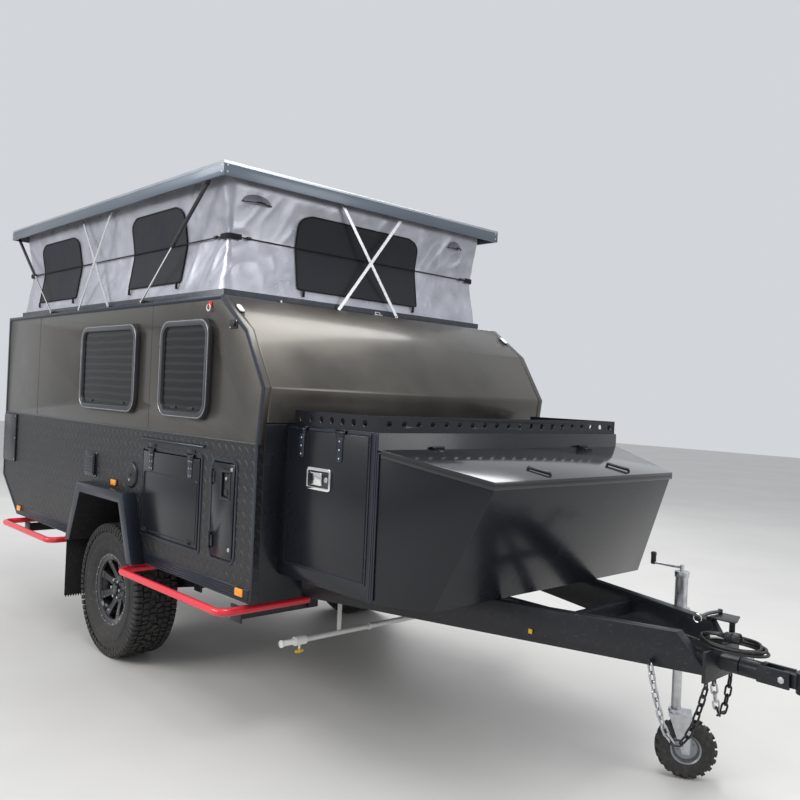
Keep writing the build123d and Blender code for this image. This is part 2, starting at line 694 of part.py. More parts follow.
def rear_bar():
    """Rear beam on arms that follow the departure cut, with the spare wheel's post."""
    low = chassis_top - rail_height
    arm = [(-1512, low + 50), (-1556, low + 50), (-1556, low), (-1616, low), (-1960, 898), (-1972, 898),
           (-1972, 850), (-1640, 586), (-1512, 586)]
    beam = block(-2040, -1971, -900, 900, 848, 948)
    beam += side_plate(arm, -640, -600)
    beam += side_plate(arm, 600, 640)
    beam += block(-2030, -1985, -45, 45, 947, 1330)
    stub_end = -rear_reach + tyre_width / 2 - 78 + 40
    beam += rod((-1990, 0, 1230), (stub_end + 90, 0, 1230), 26)
    keep("rear_bar", beam)


def lamps():
    """Amber and white marker lamps on the sides and slopes, red lamps at the rear."""
    for x, z in ((-1555, 698), (1471, 690)):
        keep("lamps", *both_sides(block(x - 34, x + 34, -half_width - 14, -half_width, z - 20, z + 20)))
    keep("lamps", *both_sides(block(20, 70, -half_width - 12, -half_width, 1048, 1072)))
    slope = Vector(nose_break[0] - nose_top_x, 0, nose_break[1] - body_top).normalized()
    out = Vector(-slope.Z, 0, slope.X)
    spot = Vector(nose_top_x, 0, body_top) + slope * 130
    for sign in (-1, 1):
        face = Plane(origin=(spot.X, sign * (half_width - 40), spot.Z), x_dir=slope, z_dir=out)
        keep("lamps", extrude(face * SlotOverall(64, 28), amount=13))
    for sign in (-1, 1):
        y0, y1 = sorted((sign * 830, sign * 1000))
        keep("lamps", block(body_rear - 26, body_rear, y0, y1, 1010, 1120))


def jockey():
    """Jockey wheel on the left drawbar rail: clamp and tube, winding leg, swivel fork and wheel."""
    face = drawbar_y(jockey_x) + 3
    tube = rod((jockey_x, jockey_y, jockey_tube_bottom), (jockey_x, jockey_y, jockey_tube_top), jockey_tube_radius)
    tube += rod((jockey_x, jockey_y, jockey_tube_top - 1), (jockey_x, jockey_y, jockey_tube_top + 24), jockey_tube_radius + 4)
    near = drawbar_y(jockey_x + 60)
    plan = [(jockey_x - 60, drawbar_y(jockey_x - 60)), (jockey_x + 60, drawbar_y(jockey_x + 60)),
            (jockey_x + 30, jockey_y + 32), (jockey_x - 30, jockey_y + 32)]
    tube += plan_plate(plan, 690, 760)
    tube -= rod((jockey_x, jockey_y, jockey_tube_bottom - 1), (jockey_x, jockey_y, jockey_tube_top - 4), jockey_leg_radius + 0.6)
    top = jockey_tube_top + 24
    tube += rod((jockey_x, jockey_y, top - 1), (jockey_x, jockey_y, top + 28), 9)
    tube += rod((jockey_x + 6, jockey_y, top + 16), (jockey_x - 150, jockey_y, top + 16), 6)
    tube += rod((jockey_x - 144, jockey_y, top + 8), (jockey_x - 144, jockey_y, top + 60), 9)
    keep("jockey_tube", tube)
    leg_top = jockey_tube_bottom + 70
    crown = 2 * jockey_radius + 34
    keep("jockey_leg", rod((jockey_x, jockey_y, crown), (jockey_x, jockey_y, leg_top), jockey_leg_radius))
    half = jockey_width / 2
    place = Pos(jockey_x, jockey_y, 0) * Rot(0, 0, jockey_turn)
    fork = Pos(0, 0, crown - 8.3) * Cylinder(32, 16)
    fork += block(-30, jockey_trail + 20, -half - 15, half + 15, crown - 24, crown - 14)
    for sign in (-1, 1):
        y0, y1 = sorted((sign * (half + 9), sign * (half + 15)))
        blade = [(-30, crown - 15), (jockey_trail + 20, crown - 15), (jockey_trail + 16, jockey_radius - 16),
                 (jockey_trail - 16, jockey_radius - 16)]
        fork += side_plate(blade, y0, y1)
    fork += rod((jockey_trail, -half - 20, jockey_radius), (jockey_trail, half + 20, jockey_radius), 8)
    keep("jockey_fork", place * fork)
    ring = [(62, 24), (jockey_radius - 18, half), (jockey_radius - 8, half - 4), (jockey_radius - 8, -half + 4),
            (jockey_radius - 18, -half), (62, -24)]
    tyre = revolve(make_face(Polyline(*[(r, y, 0) for r, y in ring], close=True)), Axis.Y)
    for side in (-1, 1):
        for i in range(14):
            angle = (i + (0.5 if side > 0 else 0)) * 360 / 14
            tyre += Rot(0, angle, 0) * (Pos(jockey_radius - 12, side * (half - 14), 0) * Box(24, 26, 26))
    hub_ring = [(8.1, 30), (20, 30), (20, 8), (56, 8), (61.7, 26), (61.7, -26), (56, -8), (20, -8), (20, -30), (8.1, -30)]
    rim = revolve(make_face(Polyline(*[(r, y, 0) for r, y in hub_ring], close=True)), Axis.Y)
    at_axle = place * Pos(jockey_trail, 0, jockey_radius)
    keep("jockey_wheel", at_axle * tyre)
    keep("jockey_wheel", at_axle * rim)


def chain(start, end, sag, count):
    """A hanging chain of flat-sided links, each turned a quarter from the last."""
    links = []
    for i in range(count):
        t = (i + 0.5) / count
        here = Vector(start) * (1 - t) + Vector(end) * t - Vector(0, 0, 4 * sag * t * (1 - t))
        t2 = t + 0.01
        there = Vector(start) * (1 - t2) + Vector(end) * t2 - Vector(0, 0, 4 * sag * t2 * (1 - t2))
        along = (there - here).normalized()
        flat = Vector(0, 0, 1).cross(along)
        if flat.length < 0.1:
            flat = Vector(0, 1, 0)
        flat = flat.normalized()
        normal = flat if i % 2 == 0 else along.cross(flat).normalized()
        face = Plane(origin=here, x_dir=along, z_dir=normal)
        link = extrude(face * (SlotOverall(50, 28) - SlotOverall(34, 13)), amount=3.6, both=True)
        links.append(link)
    return links


def safety_chains():
    """Two safety chains that hang from the drawbar in loops."""
    keep("safety_chains", *chain((3150, -215, 640), (3335, -118, 596), 290, 17))
    keep("safety_chains", *chain((3338, -50, 590), (3338, 92, 590), 150, 9))


def drain_pipe():
    """White drain pipe across the frame with a valve and two hangers."""
    x, z = 1555, 430
    pipe = rod((x, -860, z), (x, 110, z), 14)
    pipe += rod((x, -780, z), (x, -715, z), 22)
    pipe += rod((x, -748, z), (x, -748, z - 50), 6)
    pipe += block(x - 4, x + 4, -770, -726, z - 58, z - 48)
    for y, top in ((-500, 689.7), (0, 639.7)):
        pipe += block(x - 3, x + 3, y - 12, y + 12, z + 10, top)
    keep("drain_pipe", pipe)


lead_route = [(3036.3, 0, 704), (3085, 0, 704), (3135, -9, 722), (3185, -18, 741), (3234, -20, 745)]
lead_radius = 6


def cable():
    """Wiring lead from a gland on the drawbar, its coil on the coupling and its round plug."""
    radii = []
    for a, b, c in zip(lead_route, lead_route[1:], lead_route[2:]):
        before, after = Vector(b) - Vector(a), Vector(c) - Vector(b)
        turn = radians(before.get_angle(after))
        radii.append(0.45 * min(before.length, after.length) / (sin(turn / 2) / cos(turn / 2)))
    path = FilletPolyline(*lead_route, radius=radii)
    first = Vector(lead_route[1]) - Vector(lead_route[0])
    keep("cable_lead", sweep(Plane(origin=lead_route[0], z_dir=first) * Circle(lead_radius), path=path))
    ring = Ellipse(150, 95) - Ellipse(92, 40)
    keep("cable_coil", Pos(3384, 0, head_plate_top + 0.3) * extrude(ring, amount=40))
    keep("cable_plug", rod((3350, -70, head_plate_top + 62), (3440, -62, head_plate_top + 62), 21))


def gutter():
    """Rain gutter over the side hatch and the sealed covers beside it."""
    keep("wall_fittings", block(392, 1090, -half_width - 16, -half_width, 1348, 1362))
    keep("wall_fittings", block(-388, -300, -half_width - 30, -half_width, 1067, 1218))
    keep("wall_fittings", rod((267, -half_width, 1129), (267, -half_width - 14, 1129), 76))
    keep("wall_fittings", *both_sides(block(-1948, -1688, -half_width - 12, -half_width, 1033, 1391)))


side_walls()
end_walls()
top_deck()
arch_flares()
window_set()
doors()
roof()
tent()
scissor_arms()
gas_struts()
chassis()
stabiliser_legs()
drawbar()
coupling()
side_rails()
front_locker()
tool_box()
suspension()
wheels()
rear_bar()
lamps()
jockey()
safety_chains()
drain_pipe()
cable()
gutter()

os.makedirs("parts", exist_ok=True)
to_frame = Pos((rear_reach - front_reach) / 2, 0, 0)
for name, shapes in pieces.items():
    solids = []
    for shape in shapes:
        solids.extend((to_frame * shape).solids())
    export_step(solids[0] if len(solids) == 1 else Compound(children=solids), "parts/" + name + ".step")
print(len(pieces), "nodes")
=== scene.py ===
import json
import math

import bmesh
import bpy
from mathutils import Matrix, Vector, noise

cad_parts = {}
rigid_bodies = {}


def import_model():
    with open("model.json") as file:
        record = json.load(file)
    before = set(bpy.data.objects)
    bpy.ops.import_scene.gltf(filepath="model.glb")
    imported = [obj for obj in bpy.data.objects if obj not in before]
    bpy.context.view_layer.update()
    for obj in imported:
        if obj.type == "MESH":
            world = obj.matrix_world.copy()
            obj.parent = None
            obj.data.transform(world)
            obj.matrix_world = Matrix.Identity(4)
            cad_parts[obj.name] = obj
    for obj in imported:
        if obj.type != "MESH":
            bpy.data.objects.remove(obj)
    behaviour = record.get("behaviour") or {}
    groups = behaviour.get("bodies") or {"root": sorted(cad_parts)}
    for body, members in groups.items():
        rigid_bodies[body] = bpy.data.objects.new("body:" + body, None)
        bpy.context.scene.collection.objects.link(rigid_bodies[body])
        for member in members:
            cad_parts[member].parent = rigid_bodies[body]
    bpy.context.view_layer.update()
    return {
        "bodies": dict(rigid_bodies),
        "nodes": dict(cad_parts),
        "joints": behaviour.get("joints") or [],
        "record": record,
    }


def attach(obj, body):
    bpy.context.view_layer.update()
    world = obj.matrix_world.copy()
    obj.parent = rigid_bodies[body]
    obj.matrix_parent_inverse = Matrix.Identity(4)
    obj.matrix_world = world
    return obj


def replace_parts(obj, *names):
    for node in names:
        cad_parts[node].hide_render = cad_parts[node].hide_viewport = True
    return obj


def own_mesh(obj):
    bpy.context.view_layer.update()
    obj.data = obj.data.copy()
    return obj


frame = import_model()
nodes = frame["nodes"]
print("frame loaded")

axleX = -0.704  # every place below is counted forward from the axle line, in metres


def at(x, y, z):
    return Vector((x + axleX, y, z))


# Editing by hand, in short steps
def deselectAll():
    if bpy.context.object and bpy.context.object.mode != "OBJECT":
        bpy.ops.object.mode_set(mode="OBJECT")
    bpy.ops.object.select_all(action="DESELECT")


def choose(obj):
    deselectAll()
    obj.select_set(True)
    bpy.context.view_layer.objects.active = obj


def edit(obj):
    choose(obj)
    bpy.ops.object.mode_set(mode="EDIT")
    bpy.context.tool_settings.mesh_select_mode = (True, False, False)


def editAll(obj):
    edit(obj)
    bpy.ops.mesh.select_all(action="SELECT")


def settle(obj):  # puts place, turn and scale into the mesh
    choose(obj)
    bpy.ops.object.transform_apply(location=True, rotation=True, scale=True)
    return obj


def pick(obj, kind, test):  # selects the verts, edges or faces that pass a test, in edit mode
    mesh = bmesh.from_edit_mesh(obj.data)
    bpy.ops.mesh.select_all(action="DESELECT")
    bpy.context.tool_settings.mesh_select_mode = (kind == "verts", kind == "edges", kind == "faces")
    for item in getattr(mesh, kind):
        item.select = bool(test(item))
    mesh.select_flush_mode()
    bmesh.update_edit_mesh(obj.data)


def applyModifier(obj, kind, **settings):
    choose(obj)
    added = obj.modifiers.new("work", kind)
    for key, value in settings.items():
        setattr(added, key, value)
    bpy.ops.object.modifier_apply(modifier=added.name)
    return obj


def soften(obj, width, segments=2, angle=30):
    return applyModifier(obj, "BEVEL", width=width, segments=segments, limit_method="ANGLE",
                         angle_limit=math.radians(angle))


def join(parts):
    deselectAll()
    for part in parts:
        part.select_set(True)
    bpy.context.view_layer.objects.active = parts[0]
    bpy.ops.object.join()
    return parts[0]


def discard(obj):
    deselectAll()
    obj.select_set(True)
    bpy.ops.object.delete()


def faceOutwards(obj):
    editAll(obj)
    bpy.ops.mesh.normals_make_consistent(inside=False)
    deselectAll()


def copyOf(obj, turn=None):
    choose(obj)
    bpy.ops.object.duplicate(linked=False)
    twin = bpy.context.object
    if turn is not None:
        twin.data.transform(turn)
    return twin


def mirrored(obj):  # the same piece on the other side of the trailer
    twin = copyOf(obj, Matrix.Scale(-1, 4, (0, 1, 0)))
    editAll(twin)
    bpy.ops.mesh.flip_normals()
    deselectAll()
    return twin


def addBox(low, high, bevel=0.002, segments=2):
    low, high = Vector(low), Vector(high)
    deselectAll()
    bpy.ops.mesh.primitive_cube_add(size=1, location=(low + high) / 2)
    box = bpy.context.object
    box.scale = [abs(side) for side in high - low]
    settle(box)
    return soften(box, bevel, segments) if bevel else box


def addRod(start, end, radius, sides=24, bevel=0.0):
    start, end = Vector(start), Vector(end)
    deselectAll()
    turn = (end - start).to_track_quat("Z", "Y").to_euler()
    bpy.ops.mesh.primitive_cylinder_add(radius=radius, depth=(end - start).length, vertices=sides,
                                        location=(start + end) / 2, rotation=turn)
    rod = settle(bpy.context.object)
    return soften(rod, bevel, 2, 50) if bevel else rod


def traced(points):  # a line of edges drawn point by point, left selected in edit mode
    points = [Vector(point) for point in points]
    deselectAll()
    bpy.ops.mesh.primitive_plane_add(size=0.01)
    line = bpy.context.object
    editAll(line)
    bpy.ops.mesh.merge(type="CENTER")
    bpy.ops.transform.translate(value=points[0])
    for last, point in zip(points, points[1:]):
        bpy.ops.mesh.extrude_vertices_move(TRANSFORM_OT_translate={"value": point - last})
    bpy.ops.mesh.select_all(action="SELECT")
    return line


def addPlate(outline, push, bevel=0.0, segments=2):  # an outline filled and pushed
    plate = traced(outline)
    bpy.ops.mesh.edge_face_add()
    bpy.ops.mesh.extrude_region_move(TRANSFORM_OT_translate={"value": Vector(push)})
    bpy.ops.mesh.select_all(action="SELECT")
    bpy.ops.mesh.normals_make_consistent(inside=False)
    deselectAll()
    return soften(plate, bevel, segments) if bevel else plate


def addCurve(points, closed=False, order=3):
    deselectAll()
    bpy.ops.curve.primitive_nurbs_path_add()
    curve = bpy.context.object
    curve.data.splines.clear()
    spline = curve.data.splines.new("NURBS")
    spline.points.add(len(points) - 1)
    for place, point in zip(spline.points, points):
        place.co = (*point, 1)
    spline.order_u = order
    spline.use_cyclic_u = closed
    spline.use_endpoint_u = not closed
    spline.resolution_u = 6
    curve.data.dimensions = "3D"
    return settle(curve)


def thicken(curve, radius, sides, capped):
    curve.data.bevel_depth = radius
    curve.data.bevel_resolution = sides
    curve.data.use_fill_caps = capped


def addTube(points, radius, closed=False, sides=3, order=3):
    thicken(addCurve(points, closed, order), radius, sides, not closed)
    bpy.ops.object.convert(target="MESH")
    return bpy.context.object


def roundedOutline(low, high, corner, steps=5):  # in a plane, from two corners (u, v)
    outline = []
    for (u, v), start in (((high[0] - corner, high[1] - corner), 0), ((low[0] + corner, high[1] - corner), 90),
                          ((low[0] + corner, low[1] + corner), 180), ((high[0] - corner, low[1] + corner), 270)):
        for step in range(steps + 1):
            angle = math.radians(start + 90 * step / steps)
            outline.append((u + corner * math.cos(angle), v + corner * math.sin(angle)))
    return outline


def circleOf(middle, radius, first, second, count):  # points round a circle that lies in two given directions
    middle, first, second = Vector(middle), Vector(first), Vector(second)
    turns = [math.tau * step / count for step in range(count)]
    return [middle + radius * (first * math.cos(turn) + second * math.sin(turn)) for turn in turns]


def dress(obj, name, body, finish, angle=35):
    obj.name = name
    obj.data.name = name
    obj.data.materials.clear()
    obj.data.materials.append(finishes[finish])
    choose(obj)
    bpy.ops.object.shade_smooth_by_angle(angle=math.radians(angle))
    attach(obj, body)
    return obj


def refined(node, body, finish, slot, bevel=0.003, segments=2, name=None):  # the solid again, with eased edges
    name = name or node[0] + node.title().replace("_", "")[1:]
    choose(nodes[node])
    bpy.ops.object.duplicate(linked=False)
    piece = bpy.context.object
    piece.parent = None
    for key in list(piece.keys()):
        del piece[key]
    editAll(piece)
    bpy.ops.mesh.remove_doubles(threshold=0.00002)
    bpy.ops.mesh.dissolve_limited(angle_limit=math.radians(0.5))
    deselectAll()
    soften(piece, bevel, segments, 32)
    dress(piece, name, body, finish)
    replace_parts(piece, node)
    return piece


# Shared shader effects, each one node group
def newGroup(name, inputs, outputs):
    group = bpy.data.node_groups.new(name, "ShaderNodeTree")
    for label, kind, value in inputs:
        socket = group.interface.new_socket(label, in_out="INPUT", socket_type=kind)
        socket.default_value = value
    for label, kind in outputs:
        group.interface.new_socket(label, in_out="OUTPUT", socket_type=kind)
    return group, group.nodes.new("NodeGroupInput"), group.nodes.new("NodeGroupOutput")


def newNode(tree, kind, links=(), **settings):  # links: input -> output socket or value
    node = tree.nodes.new(kind)
    for key, value in settings.items():
        setattr(node, key, value)
    for key, value in dict(links).items():
        if isinstance(value, bpy.types.NodeSocket):
            tree.links.new(value, node.inputs[key])
        else:
            node.inputs[key].default_value = value
    return node


def calc(tree, operation, *values):
    return newNode(tree, "ShaderNodeMath", dict(enumerate(values)), operation=operation).outputs[0]


def noiseOf(tree, vector, scale, detail=3.0, rough=0.55):
    links = {"Vector": vector, "Scale": scale, "Detail": detail, "Roughness": rough}
    return newNode(tree, "ShaderNodeTexNoise", links).outputs["Fac"]


def spread(tree, value, low, high, to=(0.0, 1.0)):
    links = {"Value": value, "From Min": low, "From Max": high, "To Min": to[0], "To Max": to[1]}
    return newNode(tree, "ShaderNodeMapRange", links).outputs["Result"]


def mixColour(tree, factor, first, second, blend="MIX"):
    node = newNode(tree, "ShaderNodeMix", data_type="RGBA", blend_type=blend)
    for index, value in ((0, factor), (6, first), (7, second)):
        if isinstance(value, bpy.types.NodeSocket):
            tree.links.new(value, node.inputs[index])
        else:
            node.inputs[index].default_value = value
    return node.outputs[2]


def makeSurfaceGroup():  # clouding, fine grain, scuffs and dust of any painted or moulded surface
    colour, number = "NodeSocketColor", "NodeSocketFloat"
    group, given, result = newGroup("surfaceDetail", [
        ("Vector", "NodeSocketVector", (0, 0, 0)), ("Colour", colour, (0.5, 0.5, 0.5, 1)),
        ("Roughness", number, 0.4), ("Clouding", number, 0.1), ("Cloud Scale", number, 3.0),
        ("Grain Scale", number, 300.0), ("Grain", number, 0.1), ("Scuffs", number, 0.0),
        ("Scuff Colour", colour, (0.6, 0.6, 0.6, 1)), ("Dust", number, 0.0),
        ("Dust Colour", colour, (0.42, 0.38, 0.32, 1))],
        [("Colour", colour), ("Roughness", number), ("Height", number)])
    vector = given.outputs["Vector"]
    cloud = noiseOf(group, vector, given.outputs["Cloud Scale"], 4.0)
    grain = noiseOf(group, vector, given.outputs["Grain Scale"], 2.0)
    shade = calc(group, "MULTIPLY", spread(group, cloud, 0.3, 0.7, (-1.0, 1.0)), given.outputs["Clouding"])
    factor = calc(group, "ADD", 1.0, shade)
    tinted = newNode(group, "ShaderNodeVectorMath", {0: given.outputs["Colour"]}, operation="SCALE")
    group.links.new(factor, tinted.inputs["Scale"])
    scratch = noiseOf(group, newNode(group, "ShaderNodeMapping", {"Vector": vector, "Scale": (9.0, 9.0, 60.0),
                                                                 "Rotation": (0.2, 0.5, 0.3)}).outputs[0], 4.0, 6.0)
    worn = calc(group, "MULTIPLY", spread(group, scratch, 0.66, 0.72), given.outputs["Scuffs"])
    speck = calc(group, "MULTIPLY", spread(group, noiseOf(group, vector, 45.0, 5.0, 0.7), 0.5, 0.75),
                 given.outputs["Dust"])
    height = newNode(group, "ShaderNodeSeparateXYZ", {0: vector}).outputs["Z"]
    low = calc(group, "MULTIPLY", spread(group, height, 0.9, 0.1), given.outputs["Dust"])
    dusty = calc(group, "MINIMUM", calc(group, "ADD", speck, calc(group, "MULTIPLY", low, cloud)), 1.0)
    first = mixColour(group, worn, tinted.outputs[0], given.outputs["Scuff Colour"])
    group.links.new(mixColour(group, dusty, first, given.outputs["Dust Colour"]), result.inputs["Colour"])
    rough = calc(group, "ADD", given.outputs["Roughness"], calc(group, "MULTIPLY", shade, 0.5))
    rough = calc(group, "ADD", rough, calc(group, "MULTIPLY", calc(group, "ADD", dusty, worn), 0.25))
    group.links.new(calc(group, "MINIMUM", rough, 1.0), result.inputs["Roughness"])
    group.links.new(calc(group, "MULTIPLY", grain, given.outputs["Grain"]), result.inputs["Height"])
    return group


def makeTreadGroup():  # chequer plate: lozenges set crosswise in a grid turned by 45 degrees
    number = "NodeSocketFloat"
    group, given, result = newGroup("chequerPlate", [("Vector", "NodeSocketVector", (0, 0, 0)),
                                                     ("Pitch", number, 0.04)],
                                    [("Height", number), ("Mask", number)])
    split = newNode(group, "ShaderNodeSeparateXYZ", {0: given.outputs["Vector"]})
    along = calc(group, "ADD", split.outputs["X"], split.outputs["Y"])
    up = split.outputs["Z"]
    u = calc(group, "DIVIDE", calc(group, "ADD", along, up), given.outputs["Pitch"])
    v = calc(group, "DIVIDE", calc(group, "SUBTRACT", up, along), given.outputs["Pitch"])
    parity = calc(group, "MODULO", calc(group, "ADD", calc(group, "ADD", calc(group, "FLOOR", u),
                                                        calc(group, "FLOOR", v)), 1000.0), 2.0)
    a = calc(group, "SUBTRACT", calc(group, "FRACT", u), 0.5)
    b = calc(group, "SUBTRACT", calc(group, "FRACT", v), 0.5)
    lengthways = calc(group, "ADD", calc(group, "MULTIPLY", a, calc(group, "SUBTRACT", 1.0, parity)),
                      calc(group, "MULTIPLY", b, parity))
    across = calc(group, "ADD", calc(group, "MULTIPLY", b, calc(group, "SUBTRACT", 1.0, parity)),
                  calc(group, "MULTIPLY", a, parity))
    pointed = calc(group, "POWER", calc(group, "DIVIDE", calc(group, "ABSOLUTE", lengthways), 0.62), 2.0)
    lens = calc(group, "ADD", pointed, calc(group, "DIVIDE", calc(group, "ABSOLUTE", across), 0.17))
    mask = spread(group, lens, 1.0, 0.55)
    group.links.new(mask, result.inputs["Height"])
    group.links.new(mask, result.inputs["Mask"])
    return group


def makeWeaveGroup():  # crossed threads of a woven cloth or screen
    number = "NodeSocketFloat"
    group, given, result = newGroup("weave", [("Vector", "NodeSocketVector", (0, 0, 0)), ("Threads", number, 900.0)],
                                    [("Height", number), ("Open", number)])
    split = newNode(group, "ShaderNodeSeparateXYZ", {0: given.outputs["Vector"]})
    flat = calc(group, "ADD", split.outputs["X"], split.outputs["Y"])
    warp = calc(group, "SINE", calc(group, "MULTIPLY", flat, given.outputs["Threads"]))
    weft = calc(group, "SINE", calc(group, "MULTIPLY", split.outputs["Z"], given.outputs["Threads"]))
    group.links.new(calc(group, "ADD", warp, weft), result.inputs["Height"])
    group.links.new(spread(group, calc(group, "MULTIPLY", warp, weft), 0.1, 0.4), result.inputs["Open"])
    return group


def makeBrushGroup():  # drawn or brushed metal, streaked along X
    number = "NodeSocketFloat"
    group, given, result = newGroup("brushed", [("Vector", "NodeSocketVector", (0, 0, 0)), ("Scale", number, 40.0),
                                                ("Roughness", number, 0.3)],
                                    [("Roughness", number), ("Height", number), ("Shade", number)])
    stretched = newNode(group, "ShaderNodeMapping", {"Vector": given.outputs["Vector"], "Scale": (0.03, 1.0, 1.0)})
    streak = noiseOf(group, stretched.outputs[0], given.outputs["Scale"], 6.0, 0.7)
    rough = calc(group, "MULTIPLY", given.outputs["Roughness"], spread(group, streak, 0.3, 0.7, (0.75, 1.3)))
    group.links.new(rough, result.inputs["Roughness"])
    group.links.new(streak, result.inputs["Height"])
    group.links.new(spread(group, streak, 0.25, 0.75, (0.8, 1.15)), result.inputs["Shade"])
    return group


surfaceDetail = makeSurfaceGroup()
chequerPlate = makeTreadGroup()
weave = makeWeaveGroup()
brushed = makeBrushGroup()


def placeGroup(tree, group, vector, **values):
    node = tree.nodes.new("ShaderNodeGroup")
    node.node_tree = group
    tree.links.new(vector, node.inputs["Vector"])
    for key, value in values.items():
        node.inputs[key].default_value = value
    return node


def makeFinish(name, colour, roughness, metallic=0.0, coat=0.0, pattern=None, bump=0.3, **detail):
    material = bpy.data.materials.new(name)
    material.use_nodes = True
    tree = material.node_tree
    shader = tree.nodes["Principled BSDF"]
    place = tree.nodes.new("ShaderNodeTexCoord").outputs["Object"]
    surface = placeGroup(tree, surfaceDetail, place, Colour=(*colour, 1), Roughness=roughness, **detail)
    tree.links.new(surface.outputs["Colour"], shader.inputs["Base Color"])
    tree.links.new(surface.outputs["Roughness"], shader.inputs["Roughness"])
    shader.inputs["Metallic"].default_value = metallic
    shader.inputs["Specular IOR Level"].default_value = 0.5 if metallic else 0.34
    shader.inputs["Coat Weight"].default_value = coat
    shader.inputs["Coat Roughness"].default_value = 0.12
    height, distance = surface.outputs["Height"], 0.0008
    if pattern == "tread":
        plate = placeGroup(tree, chequerPlate, place, Pitch=0.062)
        height, distance = calc(tree, "ADD", plate.outputs["Height"], height), 0.0022
        lit = mixColour(tree, plate.outputs["Mask"], surface.outputs["Colour"],
                        (*[min(1.0, 1.7 * c) for c in colour], 1))
        tree.links.new(lit, shader.inputs["Base Color"])
    elif pattern == "weave":
        cloth = placeGroup(tree, weave, place, Threads=2600.0)
        height, distance = calc(tree, "ADD", calc(tree, "MULTIPLY", cloth.outputs["Height"], 0.12), height), 0.0006
    elif pattern == "brushed":
        drawn = placeGroup(tree, brushed, place, Scale=60.0, Roughness=roughness)
        tree.links.new(drawn.outputs["Roughness"], shader.inputs["Roughness"])
        height, distance = drawn.outputs["Height"], 0.0002
    bumped = newNode(tree, "ShaderNodeBump", {"Height": height, "Strength": bump, "Distance": distance})
    tree.links.new(bumped.outputs["Normal"], shader.inputs["Normal"])
    return material


